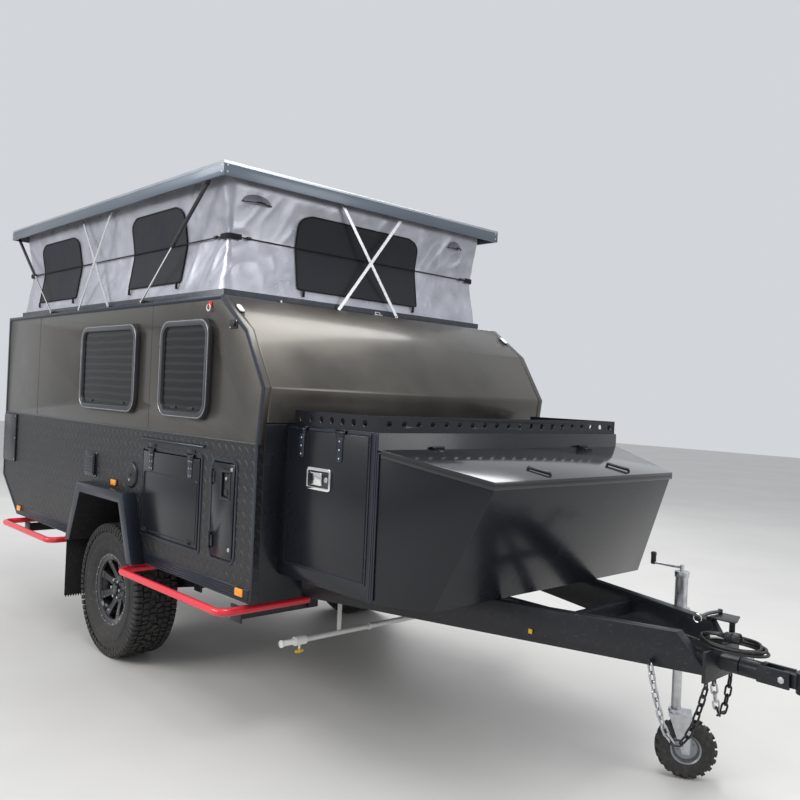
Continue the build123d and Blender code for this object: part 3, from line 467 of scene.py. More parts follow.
darkSheet = {"Clouding": 0.1, "Cloud Scale": 2.5, "Grain Scale": 420.0, "Grain": 0.5}
finishTable = {
    # name: colour, roughness, metallic, coat, pattern, bump, detail
    "bronzeSheet": ((0.085, 0.078, 0.068), 0.34, 0.75, 0.25, None, 0.25, {**darkSheet, "Clouding": 0.18}),
    "treadSheet": ((0.016, 0.016, 0.018), 0.36, 0.40, 0.10, "tread", 0.8, {**darkSheet, "Dust": 0.05}),
    "blackSheet": ((0.0075, 0.0085, 0.0125), 0.26, 0.0, 0.12, None, 0.3, darkSheet),
    "glossLid": ((0.030, 0.031, 0.033), 0.14, 0.55, 0.5, None, 0.12, {**darkSheet, "Clouding": 0.1}),
    "frameBlack": ((0.008, 0.009, 0.013), 0.40, 0.0, 0.1, None, 0.5, {"Dust": 0.03, "Scuffs": 0.12, "Grain": 0.8}),
    "trimNavy": ((0.020, 0.025, 0.038), 0.32, 0.5, 0.1, None, 0.25, {"Grain": 0.4, "Scuffs": 0.15}),
    "roofSheet": ((0.095, 0.118, 0.148), 0.40, 0.45, 0.3, None, 0.2, {"Grain": 0.4, "Clouding": 0.08}),
    "roofPale": ((0.42, 0.45, 0.48), 0.28, 0.85, 0.1, None, 0.2, {"Grain": 0.3}),
    "deckSheet": ((0.030, 0.036, 0.046), 0.38, 0.5, 0.1, None, 0.3, {"Grain": 0.5, "Dust": 0.1}),
    "railRed": ((0.72, 0.025, 0.045), 0.30, 0.0, 0.5, None, 0.2, {"Grain": 0.5, "Scuffs": 0.1, "Clouding": 0.06}),
    "tentCloth": ((0.40, 0.405, 0.455), 0.33, 0.45, 0.0, "weave", 0.4, {"Clouding": 0.16, "Cloud Scale": 6.0}),
    "screenMesh": ((0.016, 0.018, 0.024), 0.75, 0.0, 0.0, "weave", 0.9, {"Clouding": 0.25, "Cloud Scale": 4.0}),
    "webbing": ((0.010, 0.010, 0.012), 0.85, 0.0, 0.0, "weave", 0.8, {"Clouding": 0.1}),
    "bareAlloy": ((0.78, 0.79, 0.80), 0.30, 1.0, 0.0, "brushed", 0.2, {}),
    "polished": ((0.80, 0.80, 0.80), 0.12, 1.0, 0.0, "brushed", 0.15, {}),
    "zinc": ((0.50, 0.51, 0.53), 0.36, 0.95, 0.0, None, 0.4, {"Clouding": 0.2, "Cloud Scale": 25.0, "Dust": 0.08}),
    "chainBlack": ((0.018, 0.018, 0.020), 0.38, 0.6, 0.1, None, 0.3, {"Scuffs": 0.4}),
    "steelGrey": ((0.30, 0.31, 0.33), 0.38, 0.7, 0.0, None, 0.3, {"Clouding": 0.1, "Dust": 0.08}),
    "frameGrey": ((0.045, 0.046, 0.052), 0.38, 0.35, 0.2, None, 0.2, {"Grain": 0.3}),
    "tyreRubber": ((0.015, 0.015, 0.017), 0.72, 0.0, 0.0, None, 0.6, {"Dust": 0.10, "Grain": 0.8, "Clouding": 0.15}),
    "rimBlack": ((0.008, 0.009, 0.013), 0.24, 0.2, 0.4, None, 0.15, {"Dust": 0.05}),
    "softRubber": ((0.012, 0.012, 0.013), 0.65, 0.0, 0.0, None, 0.4, {"Dust": 0.1}),
    "cableSheath": ((0.010, 0.010, 0.011), 0.42, 0.0, 0.1, None, 0.3, {"Dust": 0.08}),
    "blackPlastic": ((0.014, 0.014, 0.016), 0.4, 0.0, 0.1, None, 0.5, {"Grain": 0.9, "Grain Scale": 800.0}),
    "whitePlastic": ((0.80, 0.80, 0.78), 0.35, 0.0, 0.2, None, 0.2, {"Dust": 0.05, "Clouding": 0.04}),
    "yellowPlastic": ((0.78, 0.46, 0.02), 0.4, 0.0, 0.1, None, 0.3, {"Clouding": 0.05}),
    "liner": ((0.007, 0.007, 0.008), 0.85, 0.0, 0.0, None, 0.9, {"Dust": 0.04, "Grain": 1.0, "Grain Scale": 120.0}),
    "floorBoard": ((0.10, 0.085, 0.065), 0.6, 0.0, 0.0, None, 0.4, {"Clouding": 0.2, "Grain": 0.8}),
    "redPlastic": ((0.55, 0.01, 0.012), 0.25, 0.0, 0.3, None, 0.2, {"Clouding": 0.04}),
    "amberLens": ((0.95, 0.33, 0.02), 0.22, 0.0, 0.4, None, 0.2, {"Clouding": 0.05}),
    "whiteLens": ((0.85, 0.85, 0.83), 0.2, 0.0, 0.4, None, 0.2, {"Clouding": 0.04}),
}
finishes = {name: makeFinish(name, *row[:6], **row[6]) for name, row in finishTable.items()}


def makeTintedPane():  # dark acrylic over a drawn slatted blind, whose slats show as soft waves
    material = finishes["rimBlack"].copy()
    material.name = "tintedPane"
    tree = material.node_tree
    shader = tree.nodes["Principled BSDF"]
    place = tree.nodes.new("ShaderNodeTexCoord").outputs["Object"]
    wave = newNode(tree, "ShaderNodeTexWave", {"Vector": place, "Scale": 7.0, "Distortion": 1.6, "Detail": 1.0,
                                               "Detail Scale": 0.6},
                   wave_type="BANDS", bands_direction="Z")
    slat = spread(tree, wave.outputs["Fac"], 0.55, 0.95)
    blind = mixColour(tree, slat, (0.001, 0.001, 0.002, 1), (0.014, 0.014, 0.013, 1))
    tree.links.new(blind, shader.inputs["Base Color"])
    shader.inputs["Metallic"].default_value = 0.0
    shader.inputs["Specular IOR Level"].default_value = 0.2
    shader.inputs["Coat Weight"].default_value = 0.12
    shader.inputs["Coat Roughness"].default_value = 0.03
    return material


finishes["tintedPane"] = makeTintedPane()
print("finishes ready")

finishedNodes = {
    "frameBlack": "chassis drawbar suspension rear_bar leg_front_right leg_front_left leg_rear_right "
                  "leg_rear_left coupling_yoke coupling_head",
    "floorBoard": "floor",
    "bronzeSheet": "right_upper left_upper nose_upper rear_wall entry_door",
    "treadSheet": "right_lower left_lower side_hatch",
    "blackSheet": "nose_lower front_locker gallery_rail tool_box wall_fittings service_door locker_door_right "
                  "locker_door_left",
    "deckSheet": "top_deck",
    "liner": "arch_flares",
    "frameGrey": "window_frames",
    "tintedPane": "window_panes entry_door_pane",
    "railRed": "side_rails",
    "tyreRubber": "spare_tyre tyre_right tyre_left jockey_wheel",
    "rimBlack": "spare_rim strut_cylinders_front strut_cylinders_rear rim_right rim_left",
    "amberLens": "lamps",
    "zinc": "jockey_tube safety_chains jockey_leg jockey_fork",
    "tentCloth": "tent",
    "whitePlastic": "drain_pipe",
    "cableSheath": "cable_lead cable_coil",
    "blackPlastic": "cable_plug",
    "roofSheet": "roof_lid",
    "bareAlloy": "side_arms_a side_arms_b end_arms_a end_arms_b",
    "polished": "strut_rods_front strut_rods_rear",
    "glossLid": "tool_box_lid",
}
for finish, names in finishedNodes.items():
    for name in names.split():
        nodes[name].data.materials.clear()
        nodes[name].data.materials.append(finishes[finish])
print("solids finished")


# Studio: a pale floor, soft lamps and the photograph's viewpoint
studio = {
    "floorColour": (0.62, 0.61, 0.59), "floorSize": 60.0, "skyColour": (0.86, 0.89, 0.93), "skyStrength": 0.75,
    # lamps: place, size, power, aimed at
    "lamps": (((-2.5, -7.5, 5.2), (6.0, 2.5), 420, (-0.5, 0.0, 1.2)),
              ((1.0, 0.5, 7.0), (9.0, 2.0), 420, (0.0, 0.0, 1.0)),
              ((7.5, 2.5, 3.6), (3.0, 3.0), 120, (1.0, 0.0, 1.0)),
              ((-6.5, 5.5, 4.5), (5.0, 3.0), 220, (-1.0, 0.0, 1.2))),
}
viewpoint = {"place": (4.1204, -3.2084, 1.6533), "yaw": 43.1498, "pitch": -0.2091, "roll": 2.6354, "lens": 37.10}


def buildStudio():
    deselectAll()
    bpy.ops.mesh.primitive_plane_add(size=studio["floorSize"])
    ground = bpy.context.object
    ground.name = "studioFloor"
    material = bpy.data.materials.new("studioFloor")
    material.use_nodes = True
    tree = material.node_tree
    shader = tree.nodes["Principled BSDF"]
    place = tree.nodes.new("ShaderNodeTexCoord").outputs["Object"]
    cloud = noiseOf(tree, place, 0.8, 5.0)
    base = studio["floorColour"]
    tree.links.new(mixColour(tree, spread(tree, cloud, 0.35, 0.65), (*[0.93 * c for c in base], 1), (*base, 1)),
                   shader.inputs["Base Color"])
    shader.inputs["Roughness"].default_value = 0.55
    ground.data.materials.append(material)
    world = bpy.data.worlds.new("studio")
    bpy.context.scene.world = world
    world.use_nodes = True
    background = world.node_tree.nodes["Background"]
    background.inputs["Color"].default_value = (*studio["skyColour"], 1)
    background.inputs["Strength"].default_value = studio["skyStrength"]
    for place, size, power, aim in studio["lamps"]:
        turn = (Vector(aim) - Vector(place)).to_track_quat("-Z", "Y").to_euler()
        bpy.ops.object.light_add(type="AREA", location=place, rotation=turn)
        lamp = bpy.context.object.data
        lamp.shape = "RECTANGLE"
        lamp.size, lamp.size_y = size
        lamp.energy = power
    bpy.ops.object.camera_add(location=viewpoint["place"])
    camera = bpy.context.object
    yaw, pitch, roll = (math.radians(viewpoint[key]) for key in ("yaw", "pitch", "roll"))
    ahead = Vector((-math.cos(yaw) * math.cos(pitch), math.sin(yaw) * math.cos(pitch), math.sin(pitch)))
    side = ahead.cross(Vector((0, 0, 1))).normalized()
    above = side.cross(ahead)
    right = side * math.cos(roll) + above * math.sin(roll)
    top = above * math.cos(roll) - side * math.sin(roll)
    turned = Matrix((right, top, -ahead)).transposed().to_4x4()
    camera.matrix_world = Matrix.Translation(viewpoint["place"]) @ turned
    camera.data.lens = viewpoint["lens"]
    camera.data.sensor_width = 36
    bpy.context.scene.camera = camera
    bpy.context.scene.view_settings.view_transform = "Standard"


buildStudio()
print("studio ready")


# Tent: one cloth wrapped round the deck rail, drawn in at half height by a cord
tent = {
    "rear": -1.868, "front": 1.085, "half": 0.980, "corner": 0.060, "foot": 2.171, "top": 2.778, "eaves": 2.715,
    "waistHeight": 2.455, "waistDepth": 0.045, "waistRound": 0.004, "cloth": 0.0015, "columns": 760, "rows": 44,
    # screens: side, low and high place along it, low and high z
    "screens": (("right", -1.55, -0.87, 2.235, 2.655), ("right", -0.05, 0.60, 2.240, 2.665),
                ("front", -0.515, 0.405, 2.225, 2.640), ("left", -1.55, -0.87, 2.235, 2.655),
                ("left", -0.05, 0.60, 2.240, 2.665), ("rear", -0.45, 0.45, 2.230, 2.640)),
    "screenCorner": 0.075, "hem": 0.0045, "cord": 0.0035, "foldSize": 0.015,
    # vent hoods: side, middle, half width, z
    "hoods": (("front", -0.80, 0.09, 2.640), ("front", 0.725, 0.06, 2.640), ("rear", 0.72, 0.08, 2.640)),
    "hoodRise": 0.045, "patch": (0.19, 0.030), "buckle": (0.125, 0.150, 0.158), "buckleOff": 0.016,
}
creases = {  # scale of each noise, then its share in the fold
    "warp": (1.7, 0.35), "long": (4.2, 0.42), "fine": (11.0, 0.22), "drape": 0.45, "pull": 0.3, "mean": 0.25,
    "waistReach": 0.05, "waistFlat": 0.55,
}
tentStretch = (tent["front"] - tent["rear"] - 2 * tent["corner"], 2 * (tent["half"] - tent["corner"]))
tentArc = math.pi / 2 * tent["corner"]
tentRound = 2 * (sum(tentStretch) + 2 * tentArc)
sideStart = {"right": 0.0, "front": tentStretch[0] + tentArc, "left": sum(tentStretch) + 2 * tentArc,
             "rear": 2 * tentStretch[0] + tentStretch[1] + 3 * tentArc}


def squashWithRoof(piece):  # gives the piece a mesh of its own; nothing is squashed here
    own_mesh(piece)


def alongTent(side, place):  # from a place on one side to the distance round the tent
    if side == "right":
        return place - tent["rear"] - tent["corner"]
    if side == "left":
        return sideStart["left"] + tent["front"] - tent["corner"] - place
    return sideStart[side] + tent["half"] - tent["corner"] + (place if side == "front" else -place)


def tentSpot(walked, z, proud=0.0):
    walked %= tentRound
    centres = (("front", -1, -90), ("front", 1, 0), ("rear", 1, 90), ("rear", -1, 180))
    for index, run in enumerate((tentStretch[0], tentStretch[1], tentStretch[0], tentStretch[1])):
        end, hand, start = centres[index]
        inwards = tent["corner"] if end == "rear" else -tent["corner"]
        centre = Vector((tent[end] + inwards, hand * (tent["half"] - tent["corner"])))
        angle = math.radians(start)
        if walked <= run:
            out = Vector((math.cos(angle), math.sin(angle)))
            ahead = Vector((-math.sin(angle), math.cos(angle)))
            flat = centre + out * tent["corner"] - ahead * (run - walked)
            break
        walked -= run
        if walked <= tentArc:
            angle += walked / tent["corner"]
            out = Vector((math.cos(angle), math.sin(angle)))
            flat = centre + out * tent["corner"]
            break
        walked -= tentArc
    if z <= tent["waistHeight"]:
        drawn = (z - tent["foot"]) / (tent["waistHeight"] - tent["foot"])
    else:
        drawn = max(0.0, (tent["eaves"] - z) / (tent["eaves"] - tent["waistHeight"]))
    drawn = 1.0 - math.sqrt((1.0 - drawn) ** 2 + tent["waistRound"])
    flat += out * (proud - tent["waistDepth"] * max(0.0, drawn))
    return at(flat.x, flat.y, z)


def crumple(walked, z):  # how far the cloth stands off its even line
    level = (z - tent["foot"]) / (tent["top"] - tent["foot"])
    pinned = min(1.0, 6.0 * level, 5.0 * (1.0 - level))
    turn = walked / tentRound * math.tau  # noise is read on a cylinder, so the cloth's ends meet
    here = Vector((math.cos(turn), math.sin(turn), 0)) * tentRound / math.tau + Vector((0, 0, z))
    warp = creases["warp"][1] * noise.noise(here * creases["warp"][0])
    slant = Vector((here.x + 0.5 * z, here.y + 0.5 * z, 0.55 * z + warp))
    (longScale, longShare), (fineScale, fineShare) = creases["long"], creases["fine"]
    crease = 1.0 - abs(noise.noise(slant * longScale)) * 2.0
    fine = 1.0 - abs(noise.noise(slant * fineScale + Vector((5.1, 2.3, 0.7)))) * 2.0
    drape = noise.noise(Vector((here.x * 2.2, here.y * 2.2, z * 1.3)) + Vector((9.0, 4.0, 2.0)))
    waist = math.exp(-((z - tent["waistHeight"]) / creases["waistReach"]) ** 2)
    pull = creases["pull"] * noise.noise(Vector((here.x * 16, here.y * 16, z * 3)))
    fold = longShare * crease ** 3 + fineShare * fine ** 3 + creases["drape"] * drape + pull * waist - creases["mean"]
    return tent["foldSize"] * pinned * (1.0 - creases["waistFlat"] * waist) * fold


def screenShare(walked, z):  # 1 on a screen, 0 away from one
    most = 0.0
    for side, low, high, foot, top in tent["screens"]:
        ends = sorted((alongTent(side, low), alongTent(side, high)))
        gap = max(ends[0] - walked, walked - ends[1], foot - z, z - top)
        most = max(most, min(1.0, max(0.0, 1.0 - gap / 0.05)))
    return most


def wrapGrid(name, columns, rows, spot):  # a flat grid whose every point is laid by spot(u, v), both 0 to 1
    deselectAll()
    bpy.ops.mesh.primitive_grid_add(x_subdivisions=columns, y_subdivisions=rows, size=1)
    grid = bpy.context.object
    for vertex in grid.data.vertices:
        vertex.co = spot(vertex.co.x + 0.5, vertex.co.y + 0.5)
    grid.name = name
    return grid


def buildTent():
    def clothSpot(u, v):
        walked, z = u * tentRound, tent["foot"] + v * (tent["top"] - tent["foot"])
        share = screenShare(walked, z)
        return tentSpot(walked, z, crumple(walked, z) * (1 - 0.85 * share) - 0.004 * share)

    cloth = wrapGrid("tentCloth", tent["columns"], tent["rows"], clothSpot)
    editAll(cloth)
    bpy.ops.mesh.remove_doubles(threshold=0.0001)
    bpy.ops.mesh.normals_make_consistent(inside=False)
    deselectAll()
    applyModifier(cloth, "SOLIDIFY", thickness=tent["cloth"], offset=-1)
    dress(cloth, "tentCloth", "trailer", "tentCloth", 80)
    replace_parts(cloth, "tent")
    trims = []
    for index, (side, low, high, foot, top) in enumerate(tent["screens"]):
        start, end = sorted((alongTent(side, low), alongTent(side, high)))
        corner = tent["screenCorner"]

        def screenSpot(u, v):
            z = foot + v * (top - foot)
            drop = max(0.0, z - (top - corner))
            narrow = corner - math.sqrt(max(0.0, corner ** 2 - drop ** 2))
            walked = start + narrow + u * (end - start - 2 * narrow)
            return tentSpot(walked, z, 0.003 + 0.22 * crumple(walked, z))

        screen = wrapGrid("screen", 48, 32, screenSpot)
        faceOutwards(screen)
        applyModifier(screen, "SOLIDIFY", thickness=0.001, offset=-1)
        dress(screen, f"tentScreen{index}", "trailer", "screenMesh", 80)
        trims.append(screen)
        hem = [screenSpot(u / 16, 0) for u in range(17)] + [screenSpot(1, v / 14) for v in range(1, 15)]
        hem += [screenSpot(1 - u / 16, 1) for u in range(1, 17)] + [screenSpot(0, 1 - v / 14) for v in range(1, 14)]
        border = addTube(hem, tent["hem"], closed=True)
        trims.append(dress(border, f"tentScreenHem{index}", "trailer", "webbing"))
        for share, tag in ((0.04, "Low"), (0.96, "High")):  # zip slider and its pull at the foot of the screen
            walked = start + share * (end - start)
            slider = tentSpot(walked, foot - 0.002, 0.012)
            pull = addBox(slider - Vector((0.006, 0.006, 0.038)), slider + Vector((0.006, 0.006, 0.0)), 0.003)
            trims.append(dress(pull, f"zipPull{index}{tag}", "trailer", "webbing"))
    waist = tent["waistHeight"]
    line = [tentSpot(tentRound * step / 180, waist, 0.010) for step in range(180)]
    trims.append(dress(addTube(line, tent["cord"], closed=True), "waistCord", "trailer", "webbing"))
    for index, side in enumerate(("front", "left", "rear", "right")):
        corner = sideStart[side] - tentArc / 2

        def patchSpot(u, v):
            bulge = 0.013 + 0.003 * math.sin(math.pi * v)
            wide, tall = tent["patch"]
            return tentSpot(corner + (u - 0.5) * wide, waist + (v - 0.5) * tall, bulge)

        patch = wrapGrid("patch", 24, 4, patchSpot)
        applyModifier(patch, "SOLIDIFY", thickness=0.004, offset=-1)
        trims.append(dress(patch, f"waistPatch{index}", "trailer", "webbing", 50))
        for hand in (-1, 1):
            middle, beyond, tail = (tentSpot(corner + hand * reach, waist, tent["buckleOff"])
                                    for reach in tent["buckle"])
            buckle = join([addRod(middle, beyond, 0.009, 12, 0.002), addRod(beyond, tail, 0.005, 12, 0.001)])
            name = f"waistBuckle{index}{'AB'[hand > 0]}"
            trims.append(dress(buckle, name, "trailer", "blackPlastic"))
    for index, (side, middle, half, z) in enumerate(tent["hoods"]):
        centre = alongTent(side, middle)

        def hoodSpot(u, v):
            across = (u - 0.5) * 2
            arch = math.sqrt(max(0.0, 1 - across ** 2))
            rise = tent["hoodRise"] * arch
            return tentSpot(centre + across * half, z + (1 - v) * rise, 0.004 + v * rise)

        hood = wrapGrid("hood", 20, 8, hoodSpot)
        applyModifier(hood, "SOLIDIFY", thickness=0.002, offset=-1)
        trims.append(dress(hood, f"ventHood{index}", "trailer", "tentCloth", 60))
        slit = [tentSpot(centre + (u - 0.5) * 2 * half, z + 0.002, 0.008 + 0.04 * math.sin(math.pi * u))
                for u in [step / 10 for step in range(11)]]
        trims.append(dress(addTube(slit, 0.004), f"ventHoodLip{index}", "trailer", "webbing"))
    for piece in [cloth] + trims:
        squashWithRoof(piece)
    return cloth


tentCloth = buildTent()
print("tent hung")


# Wheels: drawn round an axle through the origin, outer face towards minus Y, then put in place
wheel = {"axleZ": 0.402, "face": 1.050, "width": 0.265, "tread": 0.388, "block": 0.0132, "pitches": 18, "spokes": 8,
         "crown": 0.35, "spare": (-2.1795, 0, 1.230)}
tyreWall = [  # radius, distance from the middle plane
    (0.2065, 0.090), (0.214, 0.108), (0.224, 0.113), (0.232, 0.1185), (0.262, 0.1285), (0.296, 0.1318),
    (0.330, 0.1290), (0.345, 0.1265), (0.360, 0.1215), (0.374, 0.1130), (0.383, 0.1010), (0.3865, 0.060)]
tyreInside = [
    (0.2065, -0.086), (0.222, -0.098), (0.300, -0.119), (0.360, -0.098), (0.374, 0.0), (0.360, 0.098), (0.300, 0.119),
    (0.222, 0.098), (0.2065, 0.086)]
wallRings = ((0.236, 0.1194), (0.302, 0.1312), (0.312, 0.1310))  # radius, distance from the middle plane
tread = {  # outlines on one pitch: share of the pitch, distance across
    "centre": (
        ((0.02, -0.034), (0.24, -0.040), (0.30, -0.012), (0.46, -0.004), (0.44, 0.010), (0.22, 0.006), (0.16, -0.010),
         (0.04, -0.006)),
        ((0.27, 0.016), (0.50, 0.020), (0.56, 0.042), (0.34, 0.046)),
        ((0.36, -0.042), (0.56, -0.046), (0.62, -0.020), (0.52, -0.014)),
        ((0.60, -0.008), (0.78, -0.014), (0.82, -0.040), (0.97, -0.036), (0.95, -0.006), (0.80, 0.008), (0.66, 0.034),
         (0.56, 0.010)),
        ((0.86, 0.010), (0.99, 0.006), (1.02, 0.036), (0.82, 0.044), (0.76, 0.034)),
        ((0.04, 0.008), (0.17, 0.012), (0.22, 0.042), (0.08, 0.046))),
    "middle": (
        ((0.00, 0.052), (0.20, 0.054), (0.27, 0.080), (0.06, 0.086)),
        ((0.30, 0.052), (0.52, 0.056), (0.55, 0.084), (0.36, 0.082)),
        ((0.60, 0.050), (0.74, 0.048), (0.80, 0.082), (0.62, 0.086)),
        ((0.80, 0.052), (0.94, 0.050), (0.97, 0.078), (0.87, 0.084))),
    # shoulder blocks: from, to, inner end, how much further down the wall
    "shoulder": ((0.01, 0.20, 0.090, 0.006), (0.26, 0.45, 0.093, 0.0), (0.51, 0.70, 0.090, 0.006),
                 (0.76, 0.95, 0.093, 0.0))}


def spinRound(profile, steps=72, angle=math.tau):  # (radius, y) points turned round the Y axis
    spun = traced([(r, y, 0) for r, y in profile])
    bpy.ops.mesh.spin(steps=steps, angle=angle, center=(0, 0, 0), axis=(0, 1, 0))
    bpy.ops.mesh.select_all(action="SELECT")
    bpy.ops.mesh.remove_doubles(threshold=0.00002)
    bpy.ops.mesh.normals_make_consistent(inside=False)
    deselectAll()
    return spun


def wrapOnTread(block):  # x is the way round, y across, z the height above the tread base
    for vertex in block.data.vertices:
        x, y, z = vertex.co
        radius = wheel["tread"] - wheel["crown"] * y * y + z
        angle = x / wheel["tread"]
        vertex.co = (radius * math.sin(angle), y, radius * math.cos(angle))
    return block


def buildTyre():
    profile = tyreWall + [(0.388, 0.0)] + [(r, -y) for r, y in reversed(tyreWall)] + tyreInside
    carcass = spinRound(profile + profile[:1], 96)
    pitch = math.tau * wheel["tread"] / wheel["pitches"]
    up = (0, 0, wheel["block"] + 0.002)
    blocks = []
    for outline in tread["centre"]:
        blocks.append(addPlate([(s * pitch, w, -0.002) for s, w in outline], up, 0.0016, 1))
    for hand, shift in ((1, 0.0), (-1, 0.5)):
        for outline in tread["middle"]:
            flat = [((s + shift) * pitch, hand * w, -0.002) for s, w in outline]
            blocks.append(addPlate(flat, up, 0.0016, 1))
        for start, end, inner, step in tread["shoulder"]:
            section = [(inner, -0.003), (inner + 0.001, wheel["block"]), (0.122, wheel["block"] - 0.0005),
                       (0.1318, 0.001), (0.1322, -0.030 - step), (0.1290, -0.034 - step), (0.118, -0.012)]
            flat = [((start + shift) * pitch, hand * w, z + wheel["crown"] * w * w) for w, z in section]
            blocks.append(addPlate(flat, ((end - start) * pitch, 0, 0), 0.0018, 1))
    for block in blocks:
        wrapOnTread(block)
    onePitch = join(blocks)
    faceOutwards(onePitch)
    around = [onePitch]
    for index in range(1, wheel["pitches"]):
        around.append(copyOf(onePitch, Matrix.Rotation(index * math.tau / wheel["pitches"], 4, "Y")))
    for r, w in wallRings:
        for hand in (-1, 1):
            around.append(spinRound([(r - 0.002, hand * (w - 0.003)), (r, hand * (w + 0.001)),
                                     (r + 0.002, hand * (w - 0.003)), (r - 0.002, hand * (w - 0.003))], 72))
    return join([carcass] + around)


rimDraft = {  # rounds of (radius, y)
    "barrel": ((0.2035, -0.108), (0.2205, -0.1095), (0.2215, -0.104), (0.2080, -0.097), (0.2060, -0.060),
               (0.190, -0.045), (0.190, 0.060), (0.2060, 0.080), (0.2080, 0.100), (0.2215, 0.106), (0.2205, 0.1108),
               (0.200, 0.108), (0.197, 0.075), (0.182, 0.055), (0.182, -0.040), (0.197, -0.062), (0.2035, -0.108)),
    "ring": ((0.180, -0.098), (0.2150, -0.1085), (0.2170, -0.103), (0.200, -0.094), (0.182, -0.080), (0.176, -0.086),
             (0.180, -0.098)),
    "hub": ((0.0, -0.086), (0.024, -0.086), (0.030, -0.084), (0.034, -0.076), (0.034, -0.066), (0.046, -0.064),
            (0.078, -0.058), (0.084, -0.050), (0.084, -0.030), (0.055, -0.022), (0.055, 0.020), (0.0, 0.020)),
    "root": ((0.050, -0.058, -0.026), (0.050, -0.030, -0.030), (0.050, -0.030, 0.030), (0.050, -0.058, 0.026)),
    # spoke: radius, face, back, half width
    "spoke": ((0.110, -0.070, -0.040, 0.020), (0.160, -0.088, -0.062, 0.023), (0.193, -0.096, -0.074, 0.030)),
    # bolts: radius of their circle, y, count, length, radius, bevel
    "bolts": ((0.2075, -0.1050, 24, 0.0055, 0.0048, 0.001), (0.056, -0.058, 6, 0.024, 0.0105, 0.003))}


def buildSpoke():  # a tapered beam with a sunk face, from the hub to the outer ring
    spoke = addPlate(rimDraft["root"], (0.020, 0, 0))
    edit(spoke)
    for x, face, back, half in rimDraft["spoke"]:
        pick(spoke, "faces", lambda item: item.normal.x > 0.9)
        bpy.ops.mesh.extrude_region_move(TRANSFORM_OT_translate={"value": (0, 0, 0)})
        mesh = bmesh.from_edit_mesh(spoke.data)
        chosen = [vertex for vertex in mesh.verts if vertex.select]
        foremost = min(vertex.co.y for vertex in chosen) + 0.008
        for vertex in chosen:
            vertex.co = (x, face if vertex.co.y < foremost else back, math.copysign(half, vertex.co.z))
        bmesh.update_edit_mesh(spoke.data)
    pick(spoke, "faces", lambda item: item.normal.y < -0.6)
    bpy.ops.mesh.inset(thickness=0.008, depth=-0.006)
    bpy.ops.mesh.select_all(action="SELECT")
    bpy.ops.mesh.normals_make_consistent(inside=False)
    deselectAll()
    return soften(spoke, 0.003, 2, 25)


def buildRim():
    parts = [spinRound(rimDraft["barrel"], 72), spinRound(rimDraft["ring"], 72), spinRound(rimDraft["hub"], 48)]
    spoke = buildSpoke()
    for index in range(wheel["spokes"]):
        turn = Matrix.Rotation((index + 0.5) * math.tau / wheel["spokes"], 4, "Y")
        parts.append(copyOf(spoke, turn))
    discard(spoke)
    rim = join(parts)
    editAll(rim)
    bpy.ops.mesh.remove_doubles(threshold=0.00001)
    deselectAll()
    return rim


def buildRimBolts():
    bolts = []
    for circle, y, count, length, radius, bevel in rimDraft["bolts"]:
        for spot in circleOf((0, y, 0), circle, (1, 0, 0), (0, 0, 1), count):
            bolts.append(addRod(spot, spot - Vector((0, length, 0)), radius, 6, bevel))
    return join(bolts)


wheelDrafts = {"tyre": buildTyre(), "rim": buildRim(), "rimBolts": buildRimBolts()}
wheelKinds = (("tyre", "tyreRubber", "tyre", 40), ("rim", "rimBlack", "rim_black", 35),
              ("rimBolts", "zinc", "zinc", 35))
wheelOut = wheel["face"] - wheel["width"] / 2  # from the trailer's middle to the wheel's
wheelPlaces = {
    "right": Matrix.Translation(at(0, -wheelOut, wheel["axleZ"])),
    "left": Matrix.Translation(at(0, wheelOut, wheel["axleZ"])) @ Matrix.Rotation(math.pi, 4, "Z"),
}
for kind, finish, slot, angle in wheelKinds:
    for side, place in wheelPlaces.items():
        piece = copyOf(wheelDrafts[kind], place)
        dress(piece, f"{kind}{side.title()}", f"wheel_{side}", finish, angle)
        if kind != "rimBolts":
            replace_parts(piece, f"{kind}_{side}")
spareTurn = Matrix.Translation(at(*wheel["spare"])) @ Matrix.Rotation(-math.pi / 2, 4, "Z")
for kind, finish, slot, angle in wheelKinds:
    piece = dress(copyOf(wheelDrafts[kind], spareTurn), f"{kind}Spare", "trailer", finish, angle)
    if kind != "rimBolts":
        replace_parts(piece, f"spare_{kind}")
for draft in wheelDrafts.values():
    discard(draft)
print("wheels on")


